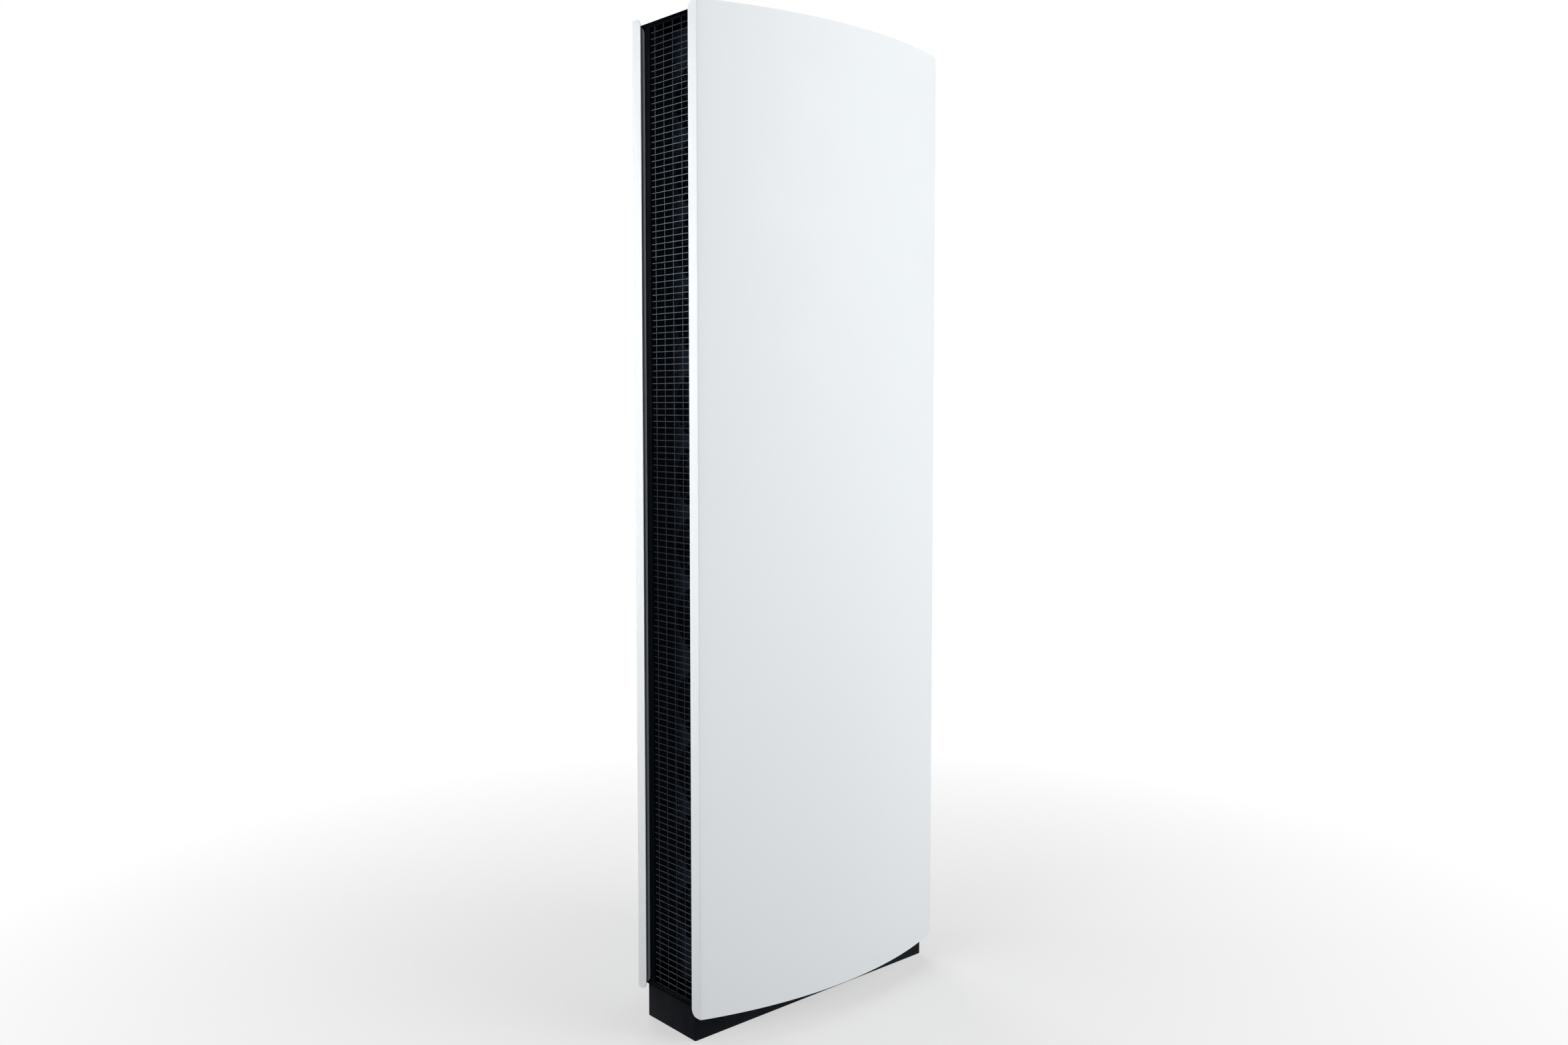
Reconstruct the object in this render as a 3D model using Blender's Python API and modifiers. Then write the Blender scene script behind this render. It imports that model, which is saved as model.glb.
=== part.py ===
"""Tall floor-standing air purifier: a slim black case between two bowed white panels.

Air enters through the wire mesh on the right side, passes a washable pre-filter, a carbon
cassette and a HEPA cassette in each of three storeys, and leaves through the mesh on the
left side, driven by a column of twelve axial fans.

Frame: metres, +Z up, +X to the viewer's right, the front faces -Y.  The origin is the
middle of the footprint, on the floor.
"""

import math

import bmesh
import bpy
from mathutils import Matrix, Vector

MM = 0.001
GAP = 0.3 * MM                      # clearance kept between touching pieces

# Case
CASE_WIDTH = 652 * MM
CASE_DEPTH = 176 * MM
CASE_BOTTOM = 68 * MM
CASE_TOP = 2013 * MM
PLATE = 2 * MM                      # roof, floor and plinth
SHEET = 1.5 * MM                    # every other sheet-metal piece
EDGE_RETURN = 4 * MM                # folded edge of the roof and the floor

# Plinth
PLINTH_DEPTH = 158 * MM
PLINTH_LIFT = 2 * MM                # the skirt stops just above the ground
PLINTH_CORNER = 3 * MM

# Front cover and back wall, which wrap round the sides of the case
LIP = 17 * MM
FREE_CORNER = 15 * MM               # rounding of every free sheet corner

# White panels
PANEL_HALF_WIDTH = 333 * MM
PANEL_BOTTOM = 56.5 * MM
PANEL_TOP = 2024 * MM
PANEL_FREE_EDGE = 77 * MM           # |y| of the flange's free edge
PANEL_FOLD = 105 * MM               # |y| of the fold between flange and face
PANEL_BOW = 61.4 * MM               # how far the face bows out beyond the fold
PANEL_BEND = 3 * MM
PANEL_STEPS = 26

# Side openings and their wire mesh
OPENING_FRONT = -71 * MM
OPENING_REAR = 55 * MM
OPENING_BOTTOM = 79.5 * MM
OPENING_TOP = 2004 * MM
MESH_FRONT = -84 * MM
MESH_REAR = 70 * MM
MESH_MARGIN = 4 * MM                # mesh beyond the opening, top and bottom
MESH_WIRE = 3 * MM
MESH_COLUMNS = 4
MESH_ROWS = 10

# Storeys: one storey holds four fans and one cassette of each kind
STOREYS = 3
STOREY_PITCH = 609.5 * MM
STOREY_MIDDLE = 435 * MM            # height of the lowest storey's middle
FANS_PER_STOREY = 4
FAN_PITCH = 145.5 * MM
FAN_BORE = 136 * MM
FAN_DEPTH = 38 * MM
FAN_PLATE_X = -255 * MM
TRAY_DEPTH = 144 * MM
TRAY_HEIGHT = 580 * MM
MOTOR_RADIUS = 27 * MM
MOTOR_DEPTH = 9 * MM
STRUT_WIDTH = 6 * MM
STRUT_DEPTH = 5 * MM
ROUND_STEPS = 20

# Impellers
BLADES = 7
HUB_RADIUS = 26 * MM
HUB_DEPTH = 24 * MM
BLADE_ROOT = 23 * MM
BLADE_TIP = 64.5 * MM
BLADE_SWEEP = 42                    # degrees that one blade covers round the hub
BLADE_LEAN = 15 * MM                # along the axis, leading to trailing edge
BLADE_SKEW = math.radians(12)       # how far the tip runs ahead of the root
BLADE_STEPS = 2
BLADE_THICKNESS = 2 * MM

# Filters
SHELF_LEFT = -205 * MM
SHELF_RIGHT = 319 * MM
SHELF_HALF_DEPTH = 85 * MM
CASSETTE_HEIGHT = 600 * MM
CASSETTE_FRONT = -85.5 * MM
CASSETTE_REAR = 83 * MM
FILTERS = {"hepa_cassette": (-190 * MM, 102 * MM),
           "carbon_cassette": (112 * MM, 232 * MM),
           "prefilter": (284 * MM, 309 * MM)}
FILTER_RIM = 14 * MM
FILTER_RECESS = 8 * MM

# Rails that carry the white panels
RAIL_HEIGHTS = {"lower": 330 * MM, "upper": 1750 * MM}
RAIL_HALF_HEIGHT = 20 * MM
RAIL_FACE = 101.5 * MM              # |y| of the rail's outer face

# Feet
FOOT_X = 275 * MM
FOOT_Y = 57 * MM
FOOT_PAD_RADIUS = 18 * MM
FOOT_PAD_HEIGHT = 8 * MM
FOOT_STUD_RADIUS = 5 * MM
FOOT_TOP = 62 * MM
FOOT_BAR_Z = 42 * MM
FOOT_BAR_WIDTH = 44 * MM
FOOT_BAR_THICKNESS = 4 * MM

# Electrical pieces, with the controls on the right end of the plinth
CONTROL_Z = 34 * MM
INLET_Y = 44 * MM
SWITCH_Y = 0 * MM
KNOB_Y = -44 * MM
BEZEL = 2 * MM
INLET_HALF = (14 * MM, 10.5 * MM)   # half width and half height of each hole
SWITCH_HALF = (10 * MM, 14 * MM)
INLET_DEPTH = 24 * MM
SWITCH_DEPTH = 22 * MM
SOCKET_RIM = 3 * MM
ROCKER_TILT = math.radians(8)
ROCKER_HALF_HEIGHT = 11 * MM
ROCKER_HALF_WIDTH = 7 * MM
KNOB_RADIUS = 15 * MM
KNOB_FACE = 5.6 * MM                # how far the flat dial stands off the plinth
KNOB_RIB = 1 * MM
SHAFT_RADIUS = 3 * MM

# Wiring: one loom from the inlet, one to the fans, and a link between the two boxes
LOOM_RADIUS = 3.5 * MM
LOOM_BEND = 20 * MM
LOOM_BEND_STEPS = 5
FAN_LOOM_START = 120 * MM           # x where it leaves the controller
FAN_LOOM_X = -232 * MM              # it climbs beside the fan trays
FAN_LOOM_Y = 78.5 * MM
FAN_LOOM_TOP = 1890 * MM
CABLE_HOLE = (236 * MM, 40 * MM)    # x and y of the hole in the case floor
CABLE_HOLE_RADIUS = 8 * MM
GROMMET_FLANGE = 10 * MM
GROMMET_LIP = 2 * MM
SUPPLY_BOX = ((-190 * MM, -55 * MM), (25 * MM, 60 * MM))
SUPPLY_HEIGHT = 30 * MM
CONTROL_BOX = ((60 * MM, -50 * MM), (200 * MM, 50 * MM))
CONTROL_HEIGHT = 36 * MM

HALF_W = CASE_WIDTH / 2
HALF_D = CASE_DEPTH / 2

COLOURS = {
    "black_paint": ((0.012, 0.013, 0.015), 0.45, 0.0),
    "grey_paint": ((0.065, 0.067, 0.070), 0.5, 0.0),
    "white_paint": ((0.78, 0.80, 0.81), 0.4, 0.0),
    "wire": ((0.16, 0.17, 0.18), 0.35, 0.8),
    "black_plastic": ((0.015, 0.015, 0.016), 0.5, 0.0),
    "zinc_steel": ((0.52, 0.53, 0.54), 0.4, 0.9),
    "filter_media": ((0.80, 0.80, 0.77), 0.9, 0.0),
    "carbon_media": ((0.03, 0.03, 0.03), 0.9, 0.0),
    "foam": ((0.06, 0.06, 0.065), 0.95, 0.0),
    "rubber": ((0.02, 0.02, 0.02), 0.8, 0.0),
}


# ---------------------------------------------------------------- scene and materials

def clear_scene():
    for obj in list(bpy.data.objects):
        bpy.data.objects.remove(obj, do_unlink=True)


def make_collection(name):
    group = bpy.data.collections.new(name)
    bpy.context.scene.collection.children.link(group)
    return group


def make_material(part_name, colour_name):
    colour, roughness, metallic = COLOURS[colour_name]
    mat = bpy.data.materials.new(part_name + "_" + colour_name)
    mat.use_nodes = True
    shader = mat.node_tree.nodes["Principled BSDF"]
    shader.inputs["Base Color"].default_value = (*colour, 1.0)
    shader.inputs["Roughness"].default_value = roughness
    shader.inputs["Metallic"].default_value = metallic
    mat.diffuse_color = (*colour, 1.0)
    return mat


def add_part(name, mesh, colour_name, location=(0, 0, 0)):
    """Put a mesh in the scene as a named part with its own material."""
    obj = bpy.data.objects.new(name, mesh)
    obj.location = location
    PARTS.objects.link(obj)
    if not mesh.materials:
        mesh.materials.append(None)
    slot = obj.material_slots[0]
    slot.link = "OBJECT"
    slot.material = make_material(name, colour_name)
    return obj


def add_cutter(name, mesh, location=(0, 0, 0)):
    obj = bpy.data.objects.new(name, mesh)
    obj.location = location
    obj.hide_render = True
    obj.display_type = "WIRE"
    CUTTERS.objects.link(obj)
    return obj


# ---------------------------------------------------------------- meshes

def mesh_from(bm, name):
    bmesh.ops.recalc_face_normals(bm, faces=bm.faces)
    mesh = bpy.data.meshes.new(name)
    bm.to_mesh(mesh)
    bm.free()
    return mesh


def box_into(bm, low, high):
    """Add a box between two corners to a bmesh."""
    low = Vector(low)
    high = Vector(high)
    size = Matrix.Diagonal((*(high - low), 1.0))
    place = Matrix.Translation((low + high) / 2)
    return bmesh.ops.create_cube(bm, size=1.0, matrix=place @ size)


def box_mesh(name, low, high):
    bm = bmesh.new()
    box_into(bm, low, high)
    return mesh_from(bm, name)


def rod_into(bm, radius, start, end, steps=ROUND_STEPS):
    """Add a capped cylinder between two points to a bmesh."""
    start = Vector(start)
    end = Vector(end)
    turn = (end - start).to_track_quat("Z", "Y").to_matrix().to_4x4()
    place = Matrix.Translation((start + end) / 2) @ turn
    bmesh.ops.create_cone(bm, cap_ends=True, segments=steps, radius1=radius,
                          radius2=radius, depth=(end - start).length, matrix=place)


def rod_mesh(name, radius, start, end, steps=ROUND_STEPS):
    bm = bmesh.new()
    rod_into(bm, radius, start, end, steps)
    return mesh_from(bm, name)


def strip_mesh(name, rails, closed=False):
    """Join pairs of points (the two ends of each line across a sheet) into one surface."""
    bm = bmesh.new()
    lines = [(bm.verts.new(a), bm.verts.new(b)) for a, b in rails]
    pairs = list(zip(lines, lines[1:]))
    if closed:
        pairs.append((lines[-1], lines[0]))
    for (a0, a1), (b0, b1) in pairs:
        bm.faces.new((a0, b0, b1, a1))
    mesh = bpy.data.meshes.new(name)
    bm.to_mesh(mesh)
    bm.free()
    return mesh


def solidify(obj, thickness, offset):
    """Give a surface a thickness; offset -1 grows against its normals, +1 along them."""
    mod = obj.modifiers.new("thickness", "SOLIDIFY")
    mod.thickness = thickness
    mod.offset = offset
    mod.use_even_offset = True
    return mod


def boolean(obj, other, operation="DIFFERENCE"):
    mod = obj.modifiers.new(operation.lower(), "BOOLEAN")
    mod.operation = operation
    mod.object = other
    mod.solver = "EXACT"
    return mod


def bevel(obj, width, segments=1):
    mod = obj.modifiers.new("edges", "BEVEL")
    mod.width = width
    mod.segments = segments
    mod.limit_method = "ANGLE"
    return mod


def evaluated_mesh(obj):
    """The object's mesh with its modifiers applied."""
    graph = bpy.context.evaluated_depsgraph_get()
    return bpy.data.meshes.new_from_object(obj.evaluated_get(graph), depsgraph=graph)


def arc_points(centre, radius, start_deg, end_deg, steps):
    """Points along an arc in a plane, as pairs."""
    points = []
    for i in range(steps + 1):
        angle = math.radians(start_deg + (end_deg - start_deg) * i / steps)
        points.append((centre[0] + radius * math.cos(angle),
                       centre[1] + radius * math.sin(angle)))
    return points


# ---------------------------------------------------------------- case

def make_plinth():
    """A folded skirt, open above and below, with cut-outs for the controls."""
    half_d = PLINTH_DEPTH / 2
    r = PLINTH_CORNER
    corners = ((HALF_W - r, half_d - r, 0), (-HALF_W + r, half_d - r, 90),
               (-HALF_W + r, -half_d + r, 180), (HALF_W - r, -half_d + r, 270))
    outline = []
    for cx, cy, start in corners:
        outline += arc_points((cx, cy), r, start, start + 90, 3)
    top = CASE_BOTTOM - GAP
    mesh = strip_mesh("plinth", [((x, y, PLINTH_LIFT), (x, y, top)) for x, y in outline],
                      closed=True)
    plinth = add_part("plinth", mesh, "black_paint")
    solidify(plinth, PLATE, -1)
    boolean(plinth, control_cutter())


def control_cutter():
    """One cutter for the three holes in the plinth's right end."""
    bm = bmesh.new()
    inner = HALF_W - 3 * PLATE
    outer = HALF_W + PLATE
    for y, half in ((INLET_Y, INLET_HALF), (SWITCH_Y, SWITCH_HALF)):
        box_into(bm, (inner, y - half[0], CONTROL_Z - half[1]),
                 (outer, y + half[0], CONTROL_Z + half[1]))
    rod_into(bm, SHAFT_RADIUS + GAP * 3, (inner, KNOB_Y, CONTROL_Z),
             (outer, KNOB_Y, CONTROL_Z), 16)
    return add_cutter("control_holes", mesh_from(bm, "control_holes"))


def make_end_plates():
    """The roof and the floor of the case, each with its front and rear edge folded in."""
    for name, outer, sign in (("roof_plate", CASE_TOP, -1), ("floor_plate", CASE_BOTTOM, 1)):
        fold = outer + sign * EDGE_RETURN
        profile = ((-HALF_D, fold), (-HALF_D, outer), (HALF_D, outer), (HALF_D, fold))
        rails = [((-HALF_W, y, z), (HALF_W, y, z)) for y, z in profile]
        plate = add_part(name, strip_mesh(name, rails), "black_paint")
        solidify(plate, PLATE, -sign)
        if name == "floor_plate":
            hole = rod_mesh("cable_hole", CABLE_HOLE_RADIUS, (*CABLE_HOLE, outer - PLATE),
                            (*CABLE_HOLE, outer + 2 * PLATE))
            boolean(plate, add_cutter("cable_hole", hole))


def make_side(side, sign):
    """A black side wall with one tall opening, and the wire mesh behind it."""
    x = sign * HALF_W
    inner_edge = HALF_D - PLATE - GAP
    wall = box_mesh(side + "_side", (min(x, x - sign * SHEET), -inner_edge,
                                     CASE_BOTTOM + PLATE + GAP),
                    (max(x, x - sign * SHEET), inner_edge, CASE_TOP - PLATE - GAP))
    part = add_part(side + "_side", wall, "black_paint")
    hole = box_mesh(side + "_opening", (x - 4 * SHEET, OPENING_FRONT, OPENING_BOTTOM),
                    (x + 4 * SHEET, OPENING_REAR, OPENING_TOP))
    boolean(part, add_cutter(side + "_opening", hole))
    make_mesh_grille(side, sign)


def make_mesh_grille(side, sign):
    """A coarse welded grid: an open sheet of cells turned into bars."""
    bm = bmesh.new()
    bmesh.ops.create_grid(bm, x_segments=MESH_COLUMNS, y_segments=MESH_ROWS, size=0.5)
    low = OPENING_BOTTOM - MESH_MARGIN
    high = OPENING_TOP + MESH_MARGIN
    stretch = Matrix.Diagonal((MESH_REAR - MESH_FRONT, high - low, 1.0, 1.0))
    stand = Matrix(((0, 0, 1, 0), (1, 0, 0, 0), (0, 1, 0, 0), (0, 0, 0, 1)))
    bmesh.ops.transform(bm, matrix=stand @ stretch, verts=bm.verts)
    mesh = bpy.data.meshes.new(side + "_mesh")
    bm.to_mesh(mesh)
    bm.free()
    x = sign * (HALF_W - SHEET - GAP - MESH_WIRE / 2)
    grille = add_part(side + "_mesh", mesh, "wire",
                      (x, (MESH_FRONT + MESH_REAR) / 2, (low + high) / 2))
    mod = grille.modifiers.new("bars", "WIREFRAME")
    mod.thickness = MESH_WIRE
    mod.use_boundary = True
    mod.use_replace = True
    mod.use_even_offset = True


def make_wrapping_cover(name, sign):
    """A sheet across the front (sign -1) or the back (+1) with a lip along each side."""
    x_out = HALF_W + GAP + SHEET
    y_out = sign * HALF_D
    y_free = sign * (HALF_D - LIP)
    low = CASE_BOTTOM + EDGE_RETURN + GAP
    high = CASE_TOP - EDGE_RETURN - GAP
    rails = []
    for y, drop in rounded_free_edge(y_free, sign):
        rails.append(((-x_out, y, low + drop), (-x_out, y, high - drop)))
    rails.append(((-x_out, y_out, low), (-x_out, y_out, high)))
    mirrored = [((-a[0], a[1], a[2]), (-b[0], b[1], b[2])) for a, b in reversed(rails)]
    cover = add_part(name, strip_mesh(name, rails + mirrored), "grey_paint")
    solidify(cover, SHEET, sign)
    return cover


def rounded_free_edge(y_free, sign, steps=5):
    """Positions across a lip with a rounded corner, and how far each stops short."""
    stations = []
    for i in range(steps + 1):
        angle = math.pi / 2 * i / steps
        inward = FREE_CORNER * (1 - math.cos(angle))
        drop = FREE_CORNER * (1 - math.sin(angle))
        stations.append((y_free + sign * inward, drop))
    return stations


# ---------------------------------------------------------------- white panels

def make_panel(name, sign):
    """A bowed sheet with a flange along each side, on the front (-1) or the back (+1)."""
    rails = []
    for y, drop in rounded_free_edge(sign * PANEL_FREE_EDGE, sign):
        rails.append(((-PANEL_HALF_WIDTH, y, PANEL_BOTTOM + drop),
                      (-PANEL_HALF_WIDTH, y, PANEL_TOP - drop)))
    for x, y in bowed_half():
        rails.append(((x, sign * y, PANEL_BOTTOM), (x, sign * y, PANEL_TOP)))
    mirrored = [((-a[0], a[1], a[2]), (-b[0], b[1], b[2])) for a, b in reversed(rails[:-1])]
    panel = add_part(name, strip_mesh(name, rails + mirrored), "white_paint")
    solidify(panel, SHEET, sign)
    for face in panel.data.polygons:
        face.use_smooth = True
    panel.data.set_sharp_from_angle(angle=math.radians(20))


def bowed_half():
    """The left half of the face, from the fold to the middle, with |y| outwards."""
    radius = (PANEL_HALF_WIDTH ** 2 + PANEL_BOW ** 2) / (2 * PANEL_BOW)
    centre_y = PANEL_FOLD + PANEL_BOW - radius
    edge = math.atan2(PANEL_HALF_WIDTH, radius - PANEL_BOW)
    turn = math.degrees(edge)
    bend_centre = (-PANEL_HALF_WIDTH + PANEL_BEND, PANEL_FOLD - PANEL_BEND)
    points = arc_points(bend_centre, PANEL_BEND, 180, 90 + turn, 3)
    half_steps = PANEL_STEPS // 2
    for i in range(1, half_steps + 1):
        angle = edge * (1 - i / half_steps)
        points.append((-radius * math.sin(angle), centre_y + radius * math.cos(angle)))
    return points


def make_rails(side, sign):
    """Two channels across the case that the white panel's flanges clip on to."""
    half_length = PANEL_HALF_WIDTH - PLATE - GAP
    y_back = sign * (HALF_D + GAP)
    y_face = sign * RAIL_FACE
    for level, z in RAIL_HEIGHTS.items():
        low = z - RAIL_HALF_HEIGHT
        high = z + RAIL_HALF_HEIGHT
        profile = ((y_back, low), (y_face, low), (y_face, high), (y_back, high))
        name = side + "_rail_" + level
        rails = [((-half_length, y, h), (half_length, y, h)) for y, h in profile]
        rail = add_part(name, strip_mesh(name, rails), "zinc_steel")
        solidify(rail, PLATE, -sign)


# ---------------------------------------------------------------- fans

def fan_heights():
    """The height of each fan's axis, lowest first."""
    heights = []
    for storey in range(STOREYS):
        middle = STOREY_MIDDLE + storey * STOREY_PITCH
        for i in range(FANS_PER_STOREY):
            heights.append(middle + (i - (FANS_PER_STOREY - 1) / 2) * FAN_PITCH)
    return heights


def make_fan_plate():
    """The bulkhead between the filters and the left side, with a hole for each fan."""
    low = CASE_BOTTOM + PLATE + GAP
    high = CASE_TOP - PLATE - GAP
    half_depth = HALF_D - PLATE - GAP
    mesh = box_mesh("fan_plate", (FAN_PLATE_X, -half_depth, low),
                    (FAN_PLATE_X + SHEET, half_depth, high))
    plate = add_part("fan_plate", mesh, "black_paint")
    bm = bmesh.new()
    for z in fan_heights():
        rod_into(bm, FAN_BORE / 2, (FAN_PLATE_X - SHEET, 0, z), (FAN_PLATE_X + 2 * SHEET, 0, z))
    boolean(plate, add_cutter("fan_holes", mesh_from(bm, "fan_holes")))


def make_fan_trays():
    """One moulded tray of four fan housings for each storey, sharing one mesh."""
    x0 = 0.0
    x1 = FAN_DEPTH
    half_height = TRAY_HEIGHT / 2
    tray = add_cutter("tray_form", box_mesh("tray_form", (x0, -TRAY_DEPTH / 2, -half_height),
                                            (x1, TRAY_DEPTH / 2, half_height)))
    bores = bmesh.new()
    mounts = bmesh.new()
    for i in range(FANS_PER_STOREY):
        z = (i - (FANS_PER_STOREY - 1) / 2) * FAN_PITCH
        rod_into(bores, FAN_BORE / 2, (x0 - MM, 0, z), (x1 + MM, 0, z))
    boolean(tray, add_cutter("tray_bores", mesh_from(bores, "tray_bores")))
    for i in range(FANS_PER_STOREY):
        z = (i - (FANS_PER_STOREY - 1) / 2) * FAN_PITCH
        motor_mount_into(mounts, x0, z)
    boolean(tray, add_cutter("tray_mounts", mesh_from(mounts, "tray_mounts")), "UNION")
    for storey in range(STOREYS):
        name = "fan_tray_%d" % (storey + 1)
        z = STOREY_MIDDLE + storey * STOREY_PITCH
        add_part(name, evaluated_mesh(tray), "black_plastic",
                 (FAN_PLATE_X + SHEET + GAP, 0, z))


def motor_mount_into(bm, x0, z):
    """A motor seat held by four struts, as one closed star-shaped outline."""
    reach = FAN_BORE / 2 + MM
    half = STRUT_WIDTH / 2
    across = math.asin(half / MOTOR_RADIUS)
    outline = []
    for arm in range(4):
        heading = math.pi / 4 + arm * math.pi / 2
        for side in (-1, 1):
            along = Vector((math.cos(heading), math.sin(heading)))
            aside = Vector((-math.sin(heading), math.cos(heading)))
            outline.append(along * reach + aside * (side * half))
        step = (math.pi / 2 - 2 * across) / 4
        for i in range(5):
            angle = heading + across + i * step
            outline.append(Vector((math.cos(angle), math.sin(angle))) * MOTOR_RADIUS)
    first = [bm.verts.new((x0 + 0.5 * MM, p.x, z + p.y)) for p in outline]
    face = bm.faces.new(first)
    grown = bmesh.ops.extrude_face_region(bm, geom=[face])
    new_verts = [v for v in grown["geom"] if isinstance(v, bmesh.types.BMVert)]
    bmesh.ops.translate(bm, verts=new_verts, vec=(STRUT_DEPTH, 0, 0))


def make_impellers():
    """Twelve impellers that share one mesh; each origin is on its own axis."""
    hub_start = MOTOR_DEPTH
    form = add_cutter("hub_form", rod_mesh("hub_form", HUB_RADIUS, (hub_start, 0, 0),
                                           (hub_start + HUB_DEPTH, 0, 0), 20))
    blades = add_cutter("blade_form", blade_mesh(hub_start + (HUB_DEPTH - BLADE_LEAN) / 2))
    solidify(blades, BLADE_THICKNESS, 0)
    boolean(form, blades, "UNION")
    mesh = evaluated_mesh(form)
    for number, z in enumerate(fan_heights(), start=1):
        add_part("impeller_%02d" % number, mesh, "black_plastic",
                 (FAN_PLATE_X + SHEET + GAP, 0, z))


def around_axis(along, radius, turn):
    """A point at a distance from the X axis, turned about it."""
    return (along, radius * math.cos(turn), radius * math.sin(turn))


def blade_mesh(x_start):
    """All blades as separate open surfaces, each a swept patch round the hub."""
    bm = bmesh.new()
    for blade in range(BLADES):
        heading = 2 * math.pi * blade / BLADES
        root = []
        tip = []
        for j in range(BLADE_STEPS + 1):
            share = j / BLADE_STEPS
            turn = heading + math.radians(BLADE_SWEEP) * share
            along = x_start + BLADE_LEAN * share
            root.append(bm.verts.new(around_axis(along, BLADE_ROOT, turn)))
            tip.append(bm.verts.new(around_axis(along, BLADE_TIP, turn + BLADE_SKEW)))
        for j in range(BLADE_STEPS):
            bm.faces.new((root[j], tip[j], tip[j + 1], root[j + 1]))
    mesh = bpy.data.meshes.new("blade_form")
    bm.to_mesh(mesh)
    bm.free()
    return mesh


# ---------------------------------------------------------------- filters

def make_shelves():
    """The sheets that divide the storeys and carry the cassettes."""
    for level in range(STOREYS + 1):
        z = STOREY_MIDDLE + (level - 0.5) * STOREY_PITCH
        name = "shelf_%d" % (level + 1)
        mesh = box_mesh(name, (SHELF_LEFT, -SHELF_HALF_DEPTH, z - SHEET / 2),
                        (SHELF_RIGHT, SHELF_HALF_DEPTH, z + SHEET / 2))
        add_part(name, mesh, "zinc_steel")


def make_filters():
    colours = {"hepa_cassette": "filter_media", "carbon_cassette": "carbon_media",
               "prefilter": "foam"}
    for kind, (left, right) in FILTERS.items():
        for storey in range(STOREYS):
            floor = STOREY_MIDDLE + (storey - 0.5) * STOREY_PITCH + SHEET / 2 + GAP
            name = "%s_%d" % (kind, storey + 1)
            mesh = cassette_mesh(name, (left, CASSETTE_FRONT, floor),
                                 (right, CASSETTE_REAR, floor + CASSETTE_HEIGHT))
            add_part(name, mesh, colours[kind])


def cassette_mesh(name, low, high):
    """A framed block whose two air faces are set back from the frame."""
    bm = bmesh.new()
    box_into(bm, low, high)
    bm.normal_update()
    faces = [f for f in bm.faces if abs(f.normal.x) > 0.9]
    bmesh.ops.inset_individual(bm, faces=faces, thickness=FILTER_RIM, depth=0)
    for face in faces:
        shift = -face.normal * min(FILTER_RECESS, (high[0] - low[0]) / 4)
        bmesh.ops.translate(bm, verts=face.verts, vec=shift)
    return mesh_from(bm, name)


# ---------------------------------------------------------------- feet and electrics

def make_feet():
    """Four screw feet, and the two bars inside the plinth that they screw into."""
    for side, x in (("left", -FOOT_X), ("right", FOOT_X)):
        make_foot_bar(side, x)
        for end, y in (("front", -FOOT_Y), ("rear", FOOT_Y)):
            make_foot("foot_%s_%s" % (end, side), x, y)


def make_foot(name, x, y):
    """A turned pad and stud: half a profile, spun round its own axis."""
    profile = ((0, FOOT_TOP), (FOOT_STUD_RADIUS, FOOT_TOP),
               (FOOT_STUD_RADIUS, FOOT_PAD_HEIGHT + 3 * MM),
               (FOOT_PAD_RADIUS - 6 * MM, FOOT_PAD_HEIGHT),
               (FOOT_PAD_RADIUS, FOOT_PAD_HEIGHT - 3 * MM), (FOOT_PAD_RADIUS, 0), (0, 0))
    mesh = bpy.data.meshes.new(name)
    edges = [(i, i + 1) for i in range(len(profile) - 1)]
    mesh.from_pydata([(r, 0, z) for r, z in profile], edges, [])
    foot = add_part(name, mesh, "rubber", (x, y, 0))
    screw = foot.modifiers.new("turn", "SCREW")
    screw.steps = 16
    screw.render_steps = 16
    screw.use_merge_vertices = True
    screw.merge_threshold = 0.00001


def make_foot_bar(side, x):
    half_length = PLINTH_DEPTH / 2 - PLATE - GAP
    name = "foot_bar_" + side
    bar = add_part(name, box_mesh(name, (x - FOOT_BAR_WIDTH / 2, -half_length, FOOT_BAR_Z),
                                  (x + FOOT_BAR_WIDTH / 2, half_length,
                                   FOOT_BAR_Z + FOOT_BAR_THICKNESS)), "zinc_steel")
    bm = bmesh.new()
    for y in (-FOOT_Y, FOOT_Y):
        rod_into(bm, FOOT_STUD_RADIUS + GAP, (x, y, FOOT_BAR_Z - MM),
                 (x, y, FOOT_BAR_Z + FOOT_BAR_THICKNESS + MM), 16)
    boolean(bar, add_cutter(name + "_holes", mesh_from(bm, name + "_holes")))


def make_power_units():
    """The power supply and the fan controller, on the floor of the case."""
    floor = CASE_BOTTOM + PLATE + GAP
    low, high = SUPPLY_BOX
    supply = box_mesh("power_supply", (*low, floor), (*high, floor + SUPPLY_HEIGHT))
    bevel(add_part("power_supply", supply, "zinc_steel"), 1.5 * MM)
    low, high = CONTROL_BOX
    control = box_mesh("control_unit", (*low, floor), (*high, floor + CONTROL_HEIGHT))
    bevel(add_part("control_unit", control, "black_plastic"), 3 * MM)


def bend_points(corner, start_way, end_way):
    """Points along a quarter bend of a cable round a corner between two directions."""
    corner = Vector(corner)
    start_way = Vector(start_way)
    end_way = Vector(end_way)
    centre = corner + LOOM_BEND * (end_way - start_way)
    points = []
    for i in range(LOOM_BEND_STEPS + 1):
        angle = math.pi / 2 * i / LOOM_BEND_STEPS
        offset = start_way * math.sin(angle) - end_way * math.cos(angle)
        points.append(centre + LOOM_BEND * offset)
    return points


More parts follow.
